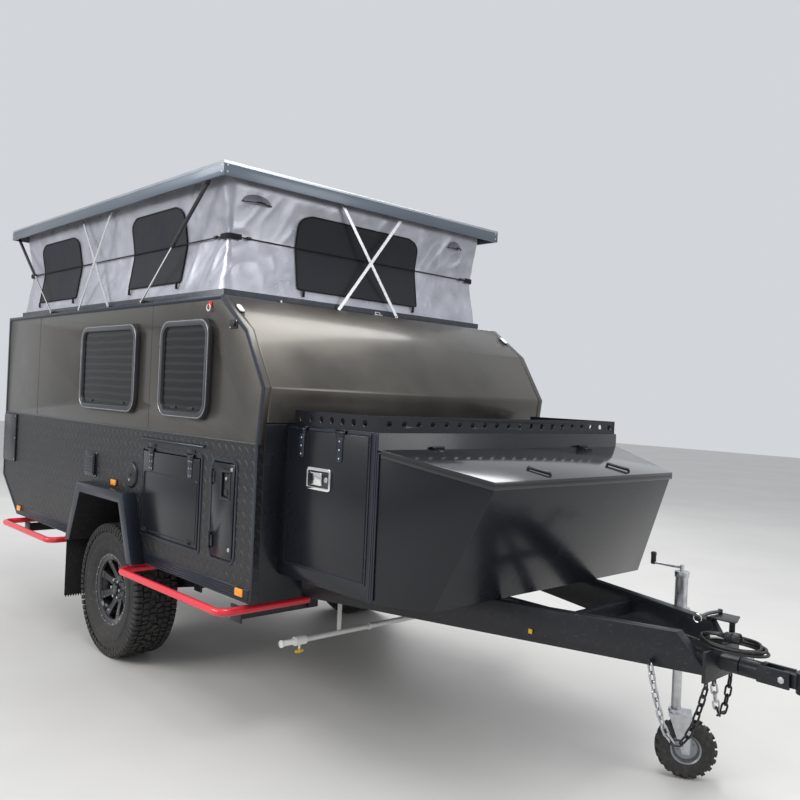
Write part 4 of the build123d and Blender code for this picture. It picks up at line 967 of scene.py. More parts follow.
# Shells carried over from the solids, with folded-sheet edges
shells = (
    # node, body, finish, slot, edge
    ("nose_upper", "trailer", "bronzeSheet", "panel_grey", 0.010),
    ("nose_lower", "trailer", "blackSheet", "sheet_black", 0.004),
    ("rear_wall", "trailer", "bronzeSheet", "panel_grey", 0.006),
    ("right_upper", "trailer", "bronzeSheet", "panel_grey", 0.002),
    ("left_upper", "trailer", "bronzeSheet", "panel_grey", 0.002),
    ("front_locker", "trailer", "blackSheet", "sheet_black", 0.004),
    ("tool_box", "trailer", "blackSheet", "sheet_black", 0.004),
    ("tool_box_lid", "tool_box_lid", "glossLid", "sheet_black", 0.004),
    ("roof_lid", "roof", "roofSheet", "roof_blue", 0.004),
    ("top_deck", "trailer", "deckSheet", "roof_blue", 0.003),
    ("arch_flares", "trailer", "trimNavy", "steel_black", 0.003),
    ("drawbar", "trailer", "frameBlack", "steel_black", 0.004, 2, "drawbarFrame"),
    ("chassis", "trailer", "frameBlack", "steel_black", 0.003, 2, "chassisFrame"),
    ("rear_bar", "trailer", "frameBlack", "steel_black", 0.004),
    ("side_hatch", "side_hatch", "blackSheet", "sheet_black", 0.003),
    ("service_door", "service_door", "blackSheet", "sheet_black", 0.003),
    ("locker_door_right", "locker_door_right", "blackSheet", "sheet_black", 0.003),
    ("locker_door_left", "locker_door_left", "blackSheet", "sheet_black", 0.003),
    ("entry_door", "entry_door", "bronzeSheet", "panel_grey", 0.003),
    ("window_frames", "trailer", "frameGrey", "frame_grey", 0.004),
)
for row in shells:
    refined(*row)
print("shells eased")


# Cable: straight out of the gland, under its own coil and round it, and up to the plug on top
cable = {"lead": ((3.0363, 0, 0.704), (3.085, 0, 0.704), (3.135, -0.009, 0.720), (3.185, -0.018, 0.733),
                  (3.234, -0.026, 0.731), (3.286, -0.042, 0.7288), (3.334, -0.066, 0.7288)),
         "radius": 0.006, "perTurn": 24, "centre": (3.384, 0.0), "half": (0.114, 0.0735), "layer": 0.0126,
         "low": 0.7288, "column": 0.0132,
         "end": ((3.305, -0.066, 0.776), (3.328, -0.0715, 0.7825), (3.350, -0.070, 0.784)),
         # half turns since the -Y side, steps outwards and up; eased between rows
         "course": ((1.45, 0, 0), (2.70, 0, 0), (2.87, 1, 0), (3.07, 1, 1), (3.14, 1, 1), (3.37, 1, 0), (4.50, 1, 0),
                    (4.77, 1, 2), (5.15, 1, 2), (5.42, 1, 1), (6.18, 1, 1), (6.47, 0, 1), (8.00, 0, 1), (8.24, 0, 2),
                    (9.02, 0, 2), (9.20, 0.2, 3.2)),
         "fan": (-0.003, 0.012, 0.002, -0.007),
         "plug": ((3.350, -0.070, 0.784), (3.440, -0.062, 0.784))}


def ease(share):
    return share * share * (3 - 2 * share)


def cablePoints():
    points = [at(*point) for point in cable["lead"]]
    course = cable["course"]
    halves = course[0][0]
    while halves <= course[-1][0]:
        row = max(index for index in range(len(course) - 1) if course[index][0] <= halves + 1e-6)
        low, high = course[row], course[row + 1]
        share = ease(min(1.0, (halves - low[0]) / (high[0] - low[0])))
        column = low[1] + (high[1] - low[1]) * share
        layer = low[2] + (high[2] - low[2]) * share
        turn = math.pi * halves
        lap = (halves - 1.5) / 2  # laps fan out on the far side, where nothing ties them
        before = min(3, max(0, int(lap)))
        after = min(3, before + 1)
        first, second = cable["fan"][before], cable["fan"][after]
        loose = first + (second - first) * ease(min(1.0, max(0.0, lap - before)))
        loose *= max(0.0, math.cos(turn)) ** 2
        points.append(at(cable["centre"][0] + (cable["half"][0] + cable["column"] * column + loose) * math.cos(turn),
                         (cable["half"][1] + cable["column"] * column) * math.sin(turn),
                         cable["low"] + cable["layer"] * layer))
        halves += 2 / cable["perTurn"]
    return points + [at(*point) for point in cable["end"]]


def addRoute(points, radius):  # the cord stays a curve; also gives the line it runs along
    route = addCurve(points)
    line = bpy.data.meshes.new_from_object(route.evaluated_get(bpy.context.evaluated_depsgraph_get()))
    walked = [vertex.co.copy() for vertex in line.vertices]
    bpy.data.meshes.remove(line)
    thicken(route, radius, 4, True)
    return route, walked


def lathed(profile, start, ahead, steps=32):  # profile: (radius, distance along), turned and laid from start
    piece = spinRound(profile, steps)
    turn = Vector((0, 1, 0)).rotation_difference(Vector(ahead)).to_matrix().to_4x4()
    piece.data.transform(Matrix.Translation(Vector(start)) @ turn)
    return piece


def alongLine(walked, start, length):  # the part of a line between two distances along it
    part, done = [], 0.0
    for last, point in zip(walked, walked[1:]):
        done += (point - last).length
        if start <= done <= start + length:
            part.append(point)
    return part


def buildCable():
    cord, walked = addRoute(cablePoints(), cable["radius"])
    cord.name = "cableCord"
    cord.data.materials.append(finishes["cableSheath"])
    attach(cord, "trailer")
    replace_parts(cord, "cable_lead", "cable_coil")
    length = sum((b - a).length for a, b in zip(walked, walked[1:]))
    print("cable length", round(length, 3))
    exit = at(*cable["lead"][0])
    gland = lathed([(0.0, 0.0), (0.0125, 0.0), (0.0125, 0.010), (0.0105, 0.0125), (0.0098, 0.019), (0.0, 0.019)],
                   exit - Vector((0.0002, 0, 0)), (1, 0, 0), 6)
    relief = lathed([(0.0058, 0.017), (0.0092, 0.018), (0.0090, 0.026), (0.0078, 0.028), (0.0082, 0.031),
                     (0.0074, 0.033), (0.0077, 0.036), (0.0069, 0.038), (0.0071, 0.042), (0.0064, 0.046),
                     (0.0058, 0.046), (0.0058, 0.017)], exit, (1, 0, 0))
    start, end = (at(*point) for point in cable["plug"])
    ahead = (end - start).normalized()
    grip = [(0.0062, 0.0), (0.0078, 0.001), (0.0090, 0.010), (0.0078, 0.013), (0.0104, 0.020), (0.0094, 0.023),
            (0.0140, 0.031), (0.0172, 0.035), (0.0178, 0.040), (0.0165, 0.0415), (0.0180, 0.044), (0.0180, 0.048),
            (0.0165, 0.0495), (0.0180, 0.052), (0.0180, 0.056), (0.0166, 0.0575), (0.0196, 0.062), (0.0206, 0.066),
            (0.0206, 0.0880), (0.0196, 0.0895), (0.0172, 0.0895), (0.0168, 0.074), (0.0, 0.074)]
    plug = lathed([(0.0, 0.0)] + grip, start - ahead * 0.0002, ahead, 48)
    key = addBox((-0.004, 0.068, 0.0185), (0.004, 0.088, 0.0208), 0.0008)
    middle = Vector((0, 0.074, 0))  # six pins round a seventh
    pins = join([addRod(spot, spot + Vector((0, 0.012, 0)), 0.0017, 12, 0.0004)
                 for spot in circleOf(middle, 0.0105, (1, 0, 0), (0, 0, 1), 6) + [middle]])
    turn = Vector((0, 1, 0)).rotation_difference(ahead).to_matrix().to_4x4()
    for piece in (key, pins):
        piece.data.transform(Matrix.Translation(start) @ turn)
    plug = join([plug, key])
    sleeve = addTube(alongLine(walked, length - 0.80, 0.075), 0.0076, sides=5)
    pieces = (
        # piece, name, finish, slot
        (gland, "cableGland", "blackPlastic", "cable_black"), (relief, "cableRelief", "softRubber", "cable_black"),
        (plug, "cablePlug", "blackPlastic", "cable_black"), (pins, "cablePlugPins", "zinc", "zinc"),
        (sleeve, "cableSleeve", "whitePlastic", "pipe_white"),
    )
    for piece, name, finish, slot in pieces:
        dress(piece, name, "trailer", finish)
    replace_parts(plug, "cable_plug")


buildCable()
print("cable coiled")


# Fittings on the side walls, made on the right and mirrored where both sides have them
wallY, leafY = -1.050, -1.056  # outer faces of the wall and of the door leaves


def facePlate(low, high, corner, y, thick, bevel=0.0012):  # lies on a face that looks towards -Y
    outline = roundedOutline(low, high, corner)
    return addPlate([at(u, y, v) for u, v in outline], (0, -thick, 0), bevel, 2)


def cutOut(obj, tool):
    applyModifier(obj, "BOOLEAN", object=tool, operation="DIFFERENCE", solver="EXACT")
    discard(tool)
    return obj


def faceRing(low, high, corner, width, y, thick, bevel=0.0012):
    ring = facePlate(low, high, corner, y, thick, 0)
    inner = facePlate((low[0] + width, low[1] + width), (high[0] - width, high[1] - width),
                      max(0.004, corner - width), y + 0.02, thick + 0.04, 0)
    return soften(cutOut(ring, inner), bevel, 2, 32)


def rivets(spots, radius=0.0042, ahead=(0, -1, 0)):
    heads = [lathed([(0.0, 0.55 * radius), (0.55 * radius, 0.46 * radius), (radius, 0.1 * radius), (radius, -0.001),
                     (0.0, -0.001)], spot, ahead, 12) for spot in spots]
    return join(heads)


def band(points, width):  # an open line of (x, z) widened to its right, with mitred corners
    line = [Vector(point) for point in points]
    ways = [(b - a).normalized() for a, b in zip(line, line[1:])]
    inner = []
    for index, point in enumerate(line):
        before, after = (ways[max(index - 1, 0)], ways[min(index, len(ways) - 1)])
        sides = Vector((before.y, -before.x)), Vector((after.y, -after.x))
        inner.append(point + (sides[0] + sides[1]) * width / (1 + sides[0].dot(sides[1])))
    return line + inner[::-1]


def sideBand(points, width, y, thick, bevel=0.0015):
    return addPlate([at(u, y, v) for u, v in band(points, width)], (0, -thick, 0), bevel, 2)


def alongX(section, x0, x1):  # a section of (y, z) drawn out along the trailer
    return addPlate([at(x0, y, z) for y, z in section], (x1 - x0, 0, 0), 0.0008, 1)


def onBoth(piece, name, finish, bodies=("trailer", "trailer")):
    twin = mirrored(piece)
    for hand, obj, body in (("Right", piece, bodies[0]), ("Left", twin, bodies[1])):
        dress(obj, name + hand, body, finish)


def mirroredOnly(piece):  # the left side's piece, without the right one
    twin = mirrored(piece)
    discard(piece)
    return twin


wallTrim = {
    "nose": ((1.189, 2.126), (1.438, 1.945), (1.605, 1.672), (1.572, 1.399), (1.572, 0.648)), "noseWidth": 0.026,
    "rear": ((-1.613, 0.648), (-1.955, 0.915), (-1.955, 2.126), (1.189, 2.126)), "rearWidth": 0.022,
    # belt: how far off the wall, height; the left one stops at the entry door, which has its own piece
    "belt": ((0.001, 1.3955), (-0.0035, 1.3965), (-0.0035, 1.4035), (0.001, 1.4065)),
    "beltRight": (-1.933, 1.547), "beltLeft": ((-1.933, 0.453), (1.137, 1.547)), "beltDoor": (0.478, 1.112),
    "ribs": 5, "ribPitch": 0.0125, "ribFoot": 0.651,
    "skirts": {"skirtFront": (0.492, 1.545), "skirtRear": (-1.600, -0.492)},
    "seams": (-1.290, 0.446), "seamHeights": (1.409, 2.103), "seamHalf": 0.0012,
    "corner": ((-1.946, 1.034), (-1.688, 1.390)), "cornerThick": 0.012,
    "cornerRivets": ((-1.932, -1.702), (1.050, 1.21, 1.374)),
}


def buildWallTrims():
    trim = wallTrim
    for end, thick in (("nose", 0.0045), ("rear", 0.0040)):
        edging = sideBand(trim[end], trim[end + "Width"], wallY + 0.001, thick)
        onBoth(edging, end + "EdgeTrim", "trimNavy")
    belt = [(wallY + off, z) for off, z in trim["belt"]]
    onDoor = [(y - 0.0055, z) for y, z in belt]
    left = join([alongX(belt, *run) for run in trim["beltLeft"]])
    for piece, name, body in ((alongX(belt, *trim["beltRight"]), "beltTrimRight", "trailer"),
                              (mirroredOnly(left), "beltTrimLeft", "trailer"),
                              (mirroredOnly(alongX(onDoor, *trim["beltDoor"])), "beltTrimDoor", "entry_door")):
        dress(piece, name, body, "frameGrey")
    ribs = [(wallY + 0.001, 0.650)]
    for step in range(trim["ribs"]):
        z = trim["ribFoot"] + trim["ribPitch"] * step
        ribs += [(wallY - 0.006, z), (wallY - 0.006, z + 0.008)]
        ribs += [(wallY - 0.002, z + 0.0095), (wallY - 0.002, z + 0.011)]
    ribs.append((wallY + 0.001, 0.714))
    for name, (x0, x1) in trim["skirts"].items():
        onBoth(alongX(ribs, x0, x1), name, "trimNavy")
    foot, top = trim["seamHeights"]
    half = trim["seamHalf"]
    seams = join([addBox(at(x - half, wallY - 0.0006, foot), at(x + half, wallY + 0.001, top), 0)
                  for x in trim["seams"]])
    onBoth(seams, "wallSeams", "softRubber")
    panel = facePlate(*trim["corner"], 0.012, wallY + 0.001, trim["cornerThick"], 0.003)
    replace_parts(panel, "wall_fittings")
    onBoth(panel, "rearCornerPanel", "blackSheet")
    places, heights = trim["cornerRivets"]
    spots = [at(x, wallY - 0.0108, z) for x in places for z in heights]
    onBoth(rivets(spots), "rearCornerRivets", "zinc")


window = {"spans": {"Rear": (-0.490, 0.300), "Front": (0.592, 1.115)}, "heights": (1.490, 2.010), "faceY": -1.0625,
          "lipY": -1.0745, "seal": 0.0055, "lip": 0.0022, "catchHalf": 0.026, "catchIn": 0.17,
          "door": ((0.566, 1.506), (1.024, 1.954))}


def buildWindowBeads():
    foot, top = window["heights"]
    for name, (x0, x1) in window["spans"].items():
        inner = [at(u, window["faceY"], v)
                 for u, v in roundedOutline((x0 + 0.036, foot + 0.036), (x1 - 0.036, top - 0.036), 0.055, 6)]
        lip = [at(u, window["lipY"], v)
               for u, v in roundedOutline((x0 + 0.007, foot + 0.007), (x1 - 0.007, top - 0.007), 0.084, 8)]
        pieces = [(addTube(inner, window["seal"], closed=True, order=2), "windowSeal", "softRubber", "sheet_black"),
                  (addTube(lip, window["lip"], closed=True, order=2), "windowLip", "zinc", "frame_grey")]
        half = window["catchHalf"]
        catches = [addBox(at(x - half, -1.0690, foot + 0.046), at(x + half, window["faceY"], foot + 0.060), 0.0025)
                   for x in (x0 + window["catchIn"], x1 - window["catchIn"])]
        pieces.append((join(catches), "windowCatches", "blackPlastic", "sheet_black"))
        for piece, label, finish, slot in pieces:
            if name == "Rear":
                onBoth(piece, label + name, finish)
            else:
                dress(piece, label + name, "trailer", finish)
    door = [at(u, -window["lipY"], v) for u, v in roundedOutline(*window["door"], 0.082, 8)]
    dress(addTube(door, window["lip"], closed=True, order=2), "windowLipDoor", "entry_door", "zinc")


hinge = {  # half length of the pin's leaf part, barrel radius, length of each end
    "half": 0.028, "radius": 0.0065, "end": 0.0115, "play": 0.0006,
    "hatchX": (0.515, 0.955), "serviceZ": (0.895, 1.213), "entryZ": (0.976, 1.348, 1.920), "lockerX": (1.720, 2.000),
    "lidY": (-0.560, 0.560), "lidTilt": 12.0}


def addHinge(name, spot, inward, up, leafBody, leafIn=0.002, wallIn=0.008, drop=0.040, rise=0.034, tilt=0.0):
    # drawn with its pin along X, the leaf below and the wall above, then turned and put in place
    half, radius, end, near = hinge["half"], hinge["radius"], hinge["end"], hinge["half"] + hinge["play"]
    turn = Matrix((Vector(inward).cross(Vector(up)), inward, up)).transposed().to_4x4()
    place = Matrix.Translation(spot) @ turn
    lean = Matrix.Rotation(math.radians(tilt), 4, "X")
    strap = join([addBox((-half, leafIn - 0.0032, -drop), (half, leafIn, -0.002), 0.0012),
                  addBox((-half, -0.0045, -0.006), (half, leafIn, 0.0), 0.0010)])
    strap.data.transform(lean)
    moving = join([addRod((-half, 0, 0), (half, 0, 0), radius, 20, 0.0008), strap])
    fixed = [addRod((side * near, 0, 0), (side * (half + end), 0, 0), radius, 20, 0.0008) for side in (-1, 1)]
    for side in (-1, 1):
        low, high = sorted((side * near, side * (half + end)))
        fixed.append(addBox((low, -0.0045, 0.0), (high, wallIn, 0.0085), 0.0008))
    fixed.append(addBox((-half - end, wallIn - 0.003, 0.0075), (half + end, wallIn + 0.0006, rise), 0.0010))
    for piece, label, body in ((moving, "Leaf", leafBody), (join(fixed), "Fixed", "trailer")):
        piece.data.transform(place)
        dress(piece, name + label, body, "blackSheet")


def buildHinges():  # every pin lies on its joint's axis
    for index, x in enumerate(hinge["hatchX"]):
        addHinge(f"hatchHinge{index}", at(x, -1.058, 1.297), (0, 1, 0), (0, 0, 1), "side_hatch")
    for index, z in enumerate(hinge["serviceZ"]):
        addHinge(f"serviceHinge{index}", at(1.180, -1.058, z), (0, 1, 0), (-1, 0, 0), "service_door", drop=0.026)
    for index, z in enumerate(hinge["entryZ"]):
        addHinge(f"entryHinge{index}", at(1.118, 1.058, z), (0, -1, 0), (1, 0, 0), "entry_door")
    for hand, inward, side in ((-1, (0, 1, 0), "right"), (1, (0, -1, 0), "left")):
        for index, x in enumerate(hinge["lockerX"]):
            addHinge(f"lockerHinge{side.title()}{index}", at(x, hand * 0.913, 1.485), inward, (0, 0, 1),
                     f"locker_door_{side}", drop=0.030, rise=0.0135)
    for index, y in enumerate(hinge["lidY"]):
        addHinge(f"lidHinge{index}", at(2.262, y, 1.434), (0, 0, -1), (-1, 0, 0), "tool_box_lid", leafIn=0.0055,
                 wallIn=0.0030, drop=0.046, rise=0.0145, tilt=hinge["lidTilt"])


def addSurround(low, high, corner, hingeSpots):  # raised frame round an opening, cut away at the hinges
    ring = faceRing(low, high, corner, 0.016, wallY + 0.001, 0.0045)
    for (x0, z0), (x1, z1) in hingeSpots:
        ring = cutOut(ring, addBox(at(x0, wallY - 0.02, z0), at(x1, wallY + 0.02, z1), 0))
    return ring


def roundLock(profile, x, y, z):
    return lathed(profile, at(x, y, z), (0, -1, 0), 20)


hatch = {"surround": ((0.396, 0.801), (1.074, 1.312)), "plate": (1.178, 1.281), "plateWidth": 0.046,
         "catches": (0.464, 0.965), "pressing": ((0.438, 0.843), (1.032, 1.172))}


def buildHatch():
    cuts = [((x - 0.044, 1.285), (x + 0.044, 1.330)) for x in hinge["hatchX"]]
    dress(addSurround(*hatch["surround"], 0.022, cuts), "hatchSurround", "trailer", "trimNavy")
    foot, top = hatch["plate"]
    width, face = hatch["plateWidth"], leafY + 0.0005
    plates, heads = [], []
    for x in hinge["hatchX"]:
        plates.append(facePlate((x - width / 2, foot), (x + width / 2, top), 0.014, face, 0.0035))
        heads.append(rivets([at(x + side * width * 0.27, face - 0.003, foot + (top - foot) * share)
                             for side in (-1, 1) for share in (0.14, 0.5, 0.86)], 0.0036))
    dress(join(plates), "hatchHingePlates", "side_hatch", "trimNavy")
    dress(join(heads), "hatchRivets", "side_hatch", "zinc")
    catches = []
    for x in hatch["catches"]:
        catches.append(facePlate((x - 0.028, 0.829), (x + 0.028, 0.857), 0.006, face, 0.004))
        catches.append(addBox(at(x - 0.018, leafY - 0.012, 0.835), at(x + 0.018, leafY - 0.003, 0.848), 0.003))
    dress(join(catches), "hatchCatches", "side_hatch", "blackPlastic")
    rim = [at(u, leafY - 0.0002, v) for u, v in roundedOutline(*hatch["pressing"], 0.02, 5)]
    dress(addTube(rim, 0.0028, closed=True, order=2), "hatchPressing", "side_hatch", "blackSheet")


service = {"surround": ((1.158, 0.795), (1.408, 1.313)), "handle": ((1.262, 1.109), (1.354, 1.256)),
           "lever": ((1.284, 1.128), (1.332, 1.238)), "lock": (1.308, 1.214),
           "sideLocks": ((1.362, 0.872), (1.362, 1.262))}


def buildServiceDoor():
    cuts = [((1.120, z - 0.044), (1.182, z + 0.044)) for z in hinge["serviceZ"]]
    dress(addSurround(*service["surround"], 0.054, cuts), "serviceSurround", "trailer", "trimNavy")
    frameRing = faceRing(*service["handle"], 0.010, 0.012, leafY + 0.0005, 0.003)
    lever = facePlate(*service["lever"], 0.008, leafY + 0.012, 0.007, 0.002)
    grip = addBox(at(1.291, leafY + 0.001, 1.134), at(1.325, leafY + 0.008, 1.160), 0.003)
    lockX, lockZ = service["lock"]
    locks = [roundLock([(0.0, 0.006), (0.008, 0.006), (0.009, 0.004), (0.009, -0.002), (0.0, -0.002)],
                       lockX, leafY + 0.006, lockZ)]
    dress(join([frameRing, lever, grip]), "serviceHandle", "service_door", "blackPlastic")
    sideLock = [(0.0, 0.005), (0.0085, 0.005), (0.0105, 0.003), (0.0105, -0.001), (0.0, -0.001)]
    locks += [roundLock(sideLock, x, leafY, z) for x, z in service["sideLocks"]]
    dress(join(locks), "serviceLocks", "service_door", "zinc")


entry = {"surround": ((0.452, 0.818), (1.138, 2.078)), "plate": ((0.500, 1.300), (0.566, 1.470)), "handleX": 0.533,
         # handle: how far off the leaf, height
         "handle": ((0.009, 1.450), (0.030, 1.444), (0.034, 1.400), (0.030, 1.352), (0.009, 1.346)), "keyZ": 1.322}


def buildEntryDoor():  # on the far side
    cuts = [((1.110, z - 0.044), (1.160, z + 0.044)) for z in hinge["entryZ"]]
    ring = addSurround(*entry["surround"], 0.076, cuts)
    dress(mirroredOnly(ring), "entrySurround", "trailer", "trimNavy")
    plate = facePlate(*entry["plate"], 0.016, leafY + 0.0005, 0.010, 0.003)
    handle = addTube([at(entry["handleX"], leafY - off, z) for off, z in entry["handle"]], 0.006, sides=4)
    key = roundLock([(0.0, 0.004), (0.009, 0.004), (0.010, 0.002), (0.010, -0.001), (0.0, -0.001)],
                    entry["handleX"], leafY - 0.0095, entry["keyZ"])
    dress(mirroredOnly(join([plate, handle])), "entryHandle", "entry_door", "blackPlastic")
    dress(mirroredOnly(key), "entryLock", "entry_door", "zinc")


wallFitting = {  # gutter: y and height of its section; flue: wall plate and hood; filler: middle of the cap
    "gutter": ((-1.049, 1.362), (-1.0635, 1.357), (-1.0660, 1.349), (-1.0640, 1.348), (-1.0615, 1.3545),
               (-1.049, 1.358)),
    "gutterRun": (0.392, 1.090), "fluePlate": ((-0.390, 1.066), (-0.221, 1.219)),
    "flueHood": ((-0.380, 1.075), (-0.231, 1.210)), "louvres": 6, "louvrePitch": 0.0185,
    "filler": (0.267, 1.129), "fillerKeyZ": 1.100}


def buildWallFittings():
    x0, x1 = wallFitting["gutterRun"]
    gutter = addPlate([at(x0, y, z) for y, z in wallFitting["gutter"]], (x1 - x0, 0, 0), 0.0006, 1)
    dress(gutter, "hatchGutter", "trailer", "trimNavy")
    louvres = [facePlate(*wallFitting["fluePlate"], 0.010, wallY + 0.001, 0.005),
               facePlate(*wallFitting["flueHood"], 0.014, wallY - 0.003, 0.013, 0.004)]
    for step in range(wallFitting["louvres"]):
        z = 1.090 + wallFitting["louvrePitch"] * step
        section = [at(-0.370, y, z + rise) for y, rise in ((-1.066, 0.0), (-1.0735, 0.001), (-1.066, 0.0125))]
        louvres.append(addPlate(section, (0.129, 0, 0), 0.0008, 1))
    dress(join(louvres), "flueLouvres", "trailer", "blackSheet")
    spots = [at(x, -1.0532, z) for x in (-0.385, -0.226) for z in (1.071, 1.214)]
    dress(rivets(spots, 0.003), "flueRivets", "trailer", "zinc")
    x, z = wallFitting["filler"]
    cap = [lathed([(0.0, 0.014), (0.048, 0.014), (0.054, 0.0115), (0.060, 0.0130), (0.066, 0.0125), (0.075, 0.007),
                   (0.0765, 0.004), (0.0765, -0.001), (0.0, -0.001)], at(x, wallY, z), (0, -1, 0), 48),
           addBox(at(x - 0.021, -1.070, z - 0.007), at(x + 0.021, -1.062, z + 0.007), 0.003)]
    dress(join(cap), "fillerCap", "trailer", "blackPlastic")
    key = roundLock([(0.0, 0.003), (0.007, 0.003), (0.008, 0.001), (0.008, -0.001), (0.0, -0.001)],
                    x, -1.0636, wallFitting["fillerKeyZ"])
    dress(key, "fillerLock", "trailer", "zinc")


flare = {"edge": ((-0.478, 0.648), (-0.325, 1.030), (0.325, 1.030), (0.478, 0.648)), "faceY": -1.1285,
         "teeth": 20, "toothPitch": 0.0162, "toothWidth": 0.0142, "toothX": -0.4585, "flapX": -0.457,
         "rivets": 5, "rivetPitch": 0.135}


def buildFlares():
    flares = bpy.data.objects["archFlares"]
    flares.data.materials.append(finishes["liner"])
    for face in flares.data.polygons:
        flap = face.center.z < 0.640 and abs(face.center.x - axleX - flare["flapX"]) < 0.02
        inside = abs(face.center.y) < 1.052 and abs(face.normal.y) < 0.9
        face.material_index = 1 if flap or inside else 0
    teeth = []
    for step in range(flare["teeth"]):
        x, y, width = flare["toothX"], -1.122 + flare["toothPitch"] * step, flare["toothWidth"]
        teeth.append(addPlate([at(x, y, 0.289), at(x, y + width, 0.289), at(x, y + width / 2, 0.271)], (0.004, 0, 0)))
    onBoth(join(teeth), "flapTeeth", "liner")
    onBoth(sideBand(flare["edge"], 0.010, flare["faceY"], 0.0012, 0.0), "flareRim", "zinc")
    spots = [at(flare["rivetPitch"] * (step - 2), flare["faceY"], 1.000) for step in range(flare["rivets"])]
    onBoth(rivets(spots, 0.0045), "flareRivets", "blackPlastic")


lamp = {  # markers: x, z, half length, half height; rear lenses: y from, to
    "markers": ((-1.555, 0.698, 0.033, 0.019), (1.471, 0.690, 0.033, 0.019), (0.045, 1.061, 0.033, 0.017)),
    "corner": 0.008, "depth": 0.014, "slopeY": -1.010, "slopeDown": 0.130, "slopeScrews": (0.082, 0.178),
    "lens": 0.0135, "rim": 0.0165, "stretch": 0.018,
    "rear": ((-0.997, -0.915, "Outer", "redPlastic"), (-0.911, -0.833, "Inner", "amberLens"))}


def buildLamps():
    feet, lenses = [], []
    for x, z, half, tall in lamp["markers"]:
        feet.append(facePlate((x - half - 0.004, z - tall - 0.004), (x + half + 0.004, z + tall + 0.004),
                              lamp["corner"] + 0.003, wallY + 0.001, 0.005))
        lenses.append(facePlate((x - half, z - tall), (x + half, z + tall), lamp["corner"], wallY - 0.003,
                                lamp["depth"] - 0.004, 0.0035))
    onBoth(join(feet), "markerFeet", "blackPlastic")
    amber = join(lenses)
    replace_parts(amber, "lamps")
    onBoth(amber, "markerLenses", "amberLens")
    slope = Vector((0.249, 0, -0.181)).normalized()
    out = Vector((0.181, 0, 0.249)).normalized()
    corner = at(1.189, lamp["slopeY"], 2.126)
    spot = corner + slope * lamp["slopeDown"]
    outline, rim = [], []
    for step in range(28):
        angle = math.tau * step / 28
        stretch = math.copysign(lamp["stretch"], math.cos(angle))
        for line, radius in ((outline, lamp["lens"]), (rim, lamp["rim"])):
            across = Vector((0, radius * math.sin(angle), 0))
            line.append(spot + slope * (radius * math.cos(angle) + stretch) + across)
    onBoth(addPlate(rim, out * 0.005, 0.001), "slopeLampFeet", "blackPlastic")
    lens = addPlate([point + out * 0.004 for point in outline], out * 0.009, 0.004, 3)
    onBoth(lens, "slopeLamps", "whiteLens")
    spots = [corner + slope * reach + out * 0.0005 for reach in lamp["slopeScrews"]]
    onBoth(rivets(spots, 0.006, out), "slopeRivets", "blackPlastic")
    for low, high, name, finish in lamp["rear"]:
        lens = addPlate([at(-1.958, u, v) for u, v in roundedOutline((low, 1.014), (high, 1.116), 0.012)],
                        (-0.021, 0, 0), 0.004, 2)
        onBoth(lens, "rearLamp" + name, finish)
    foot = addPlate([at(-1.954, u, v) for u, v in roundedOutline((-1.001, 1.009), (-0.829, 1.121), 0.014)],
                    (-0.009, 0, 0), 0.002, 2)
    onBoth(foot, "rearLampFeet", "blackPlastic")


noseFitting = {"hook": (1.079, 2.078), "ring": 0.017, "ringWire": 0.0028,
               "catchPlate": ((1.274, 1.950), (1.346, 1.996)), "catchBody": ((1.288, 1.961), (1.332, 1.985)),
               "catchScrews": ((1.281, 1.957), (1.339, 1.989))}


def buildNoseFittings():  # tie-down ring at the upper front corner and the catch beside the slope
    x, z = noseFitting["hook"]
    spot = at(x, wallY, z)
    foot = facePlate((x - 0.017, z - 0.016), (x + 0.017, z + 0.020), 0.006, wallY + 0.001, 0.006)
    stud = addRod(spot + Vector((0, -0.004, 0)), spot + Vector((0, -0.016, 0)), 0.006, 16, 0.001)
    onBoth(join([foot, stud]), "hookFeet", "redPlastic")
    ring = circleOf(spot + Vector((0, -0.012, -0.014)), noseFitting["ring"], (1, 0, 0), (0, 0, 1), 16)
    onBoth(addTube(ring, noseFitting["ringWire"], closed=True), "hookRings", "whitePlastic")
    catch = [facePlate(*noseFitting["catchPlate"], 0.008, wallY + 0.001, 0.006, 0.002),
             facePlate(*noseFitting["catchBody"], 0.006, wallY - 0.004, 0.010, 0.003)]
    onBoth(join(catch), "noseCatch", "blackPlastic")
    screws = [at(x, wallY - 0.0048, z) for x, z in noseFitting["catchScrews"]]
    onBoth(rivets(screws, 0.004), "noseCatchScrews", "zinc")


buildWallTrims()
buildWindowBeads()
buildHinges()
buildHatch()
buildServiceDoor()
buildEntryDoor()
buildWallFittings()
buildFlares()
buildLamps()
buildNoseFittings()
print("sides fitted")


# Nose lockers, drawbar, chains, jockey and coupling
locker = {
    "doorY": -0.911, "edgeY": -0.904, "latch": ((1.775, 1.214), (1.953, 1.316)), "plates": (1.720, 2.000),
    "plateHeights": (1.352, 1.462), "rivetHeights": (1.369, 1.407, 1.445),
    # welts: from, to, top
    "welts": ((2.222, 2.234, 1.492), (2.236, 2.246, 1.492), (2.2485, 2.2575, 1.414)), "weltFoot": 0.792,
    "lip": ((1.603, 0.843), (2.202, 1.492)), "rod": 0.008, "foot": 0.006, "footLength": 0.028,
    "lidRods": (((2.583, -0.321, 1.372), (2.683, -0.291, 1.352)), ((2.572, 0.319, 1.374), (2.680, 0.340, 1.352)))}


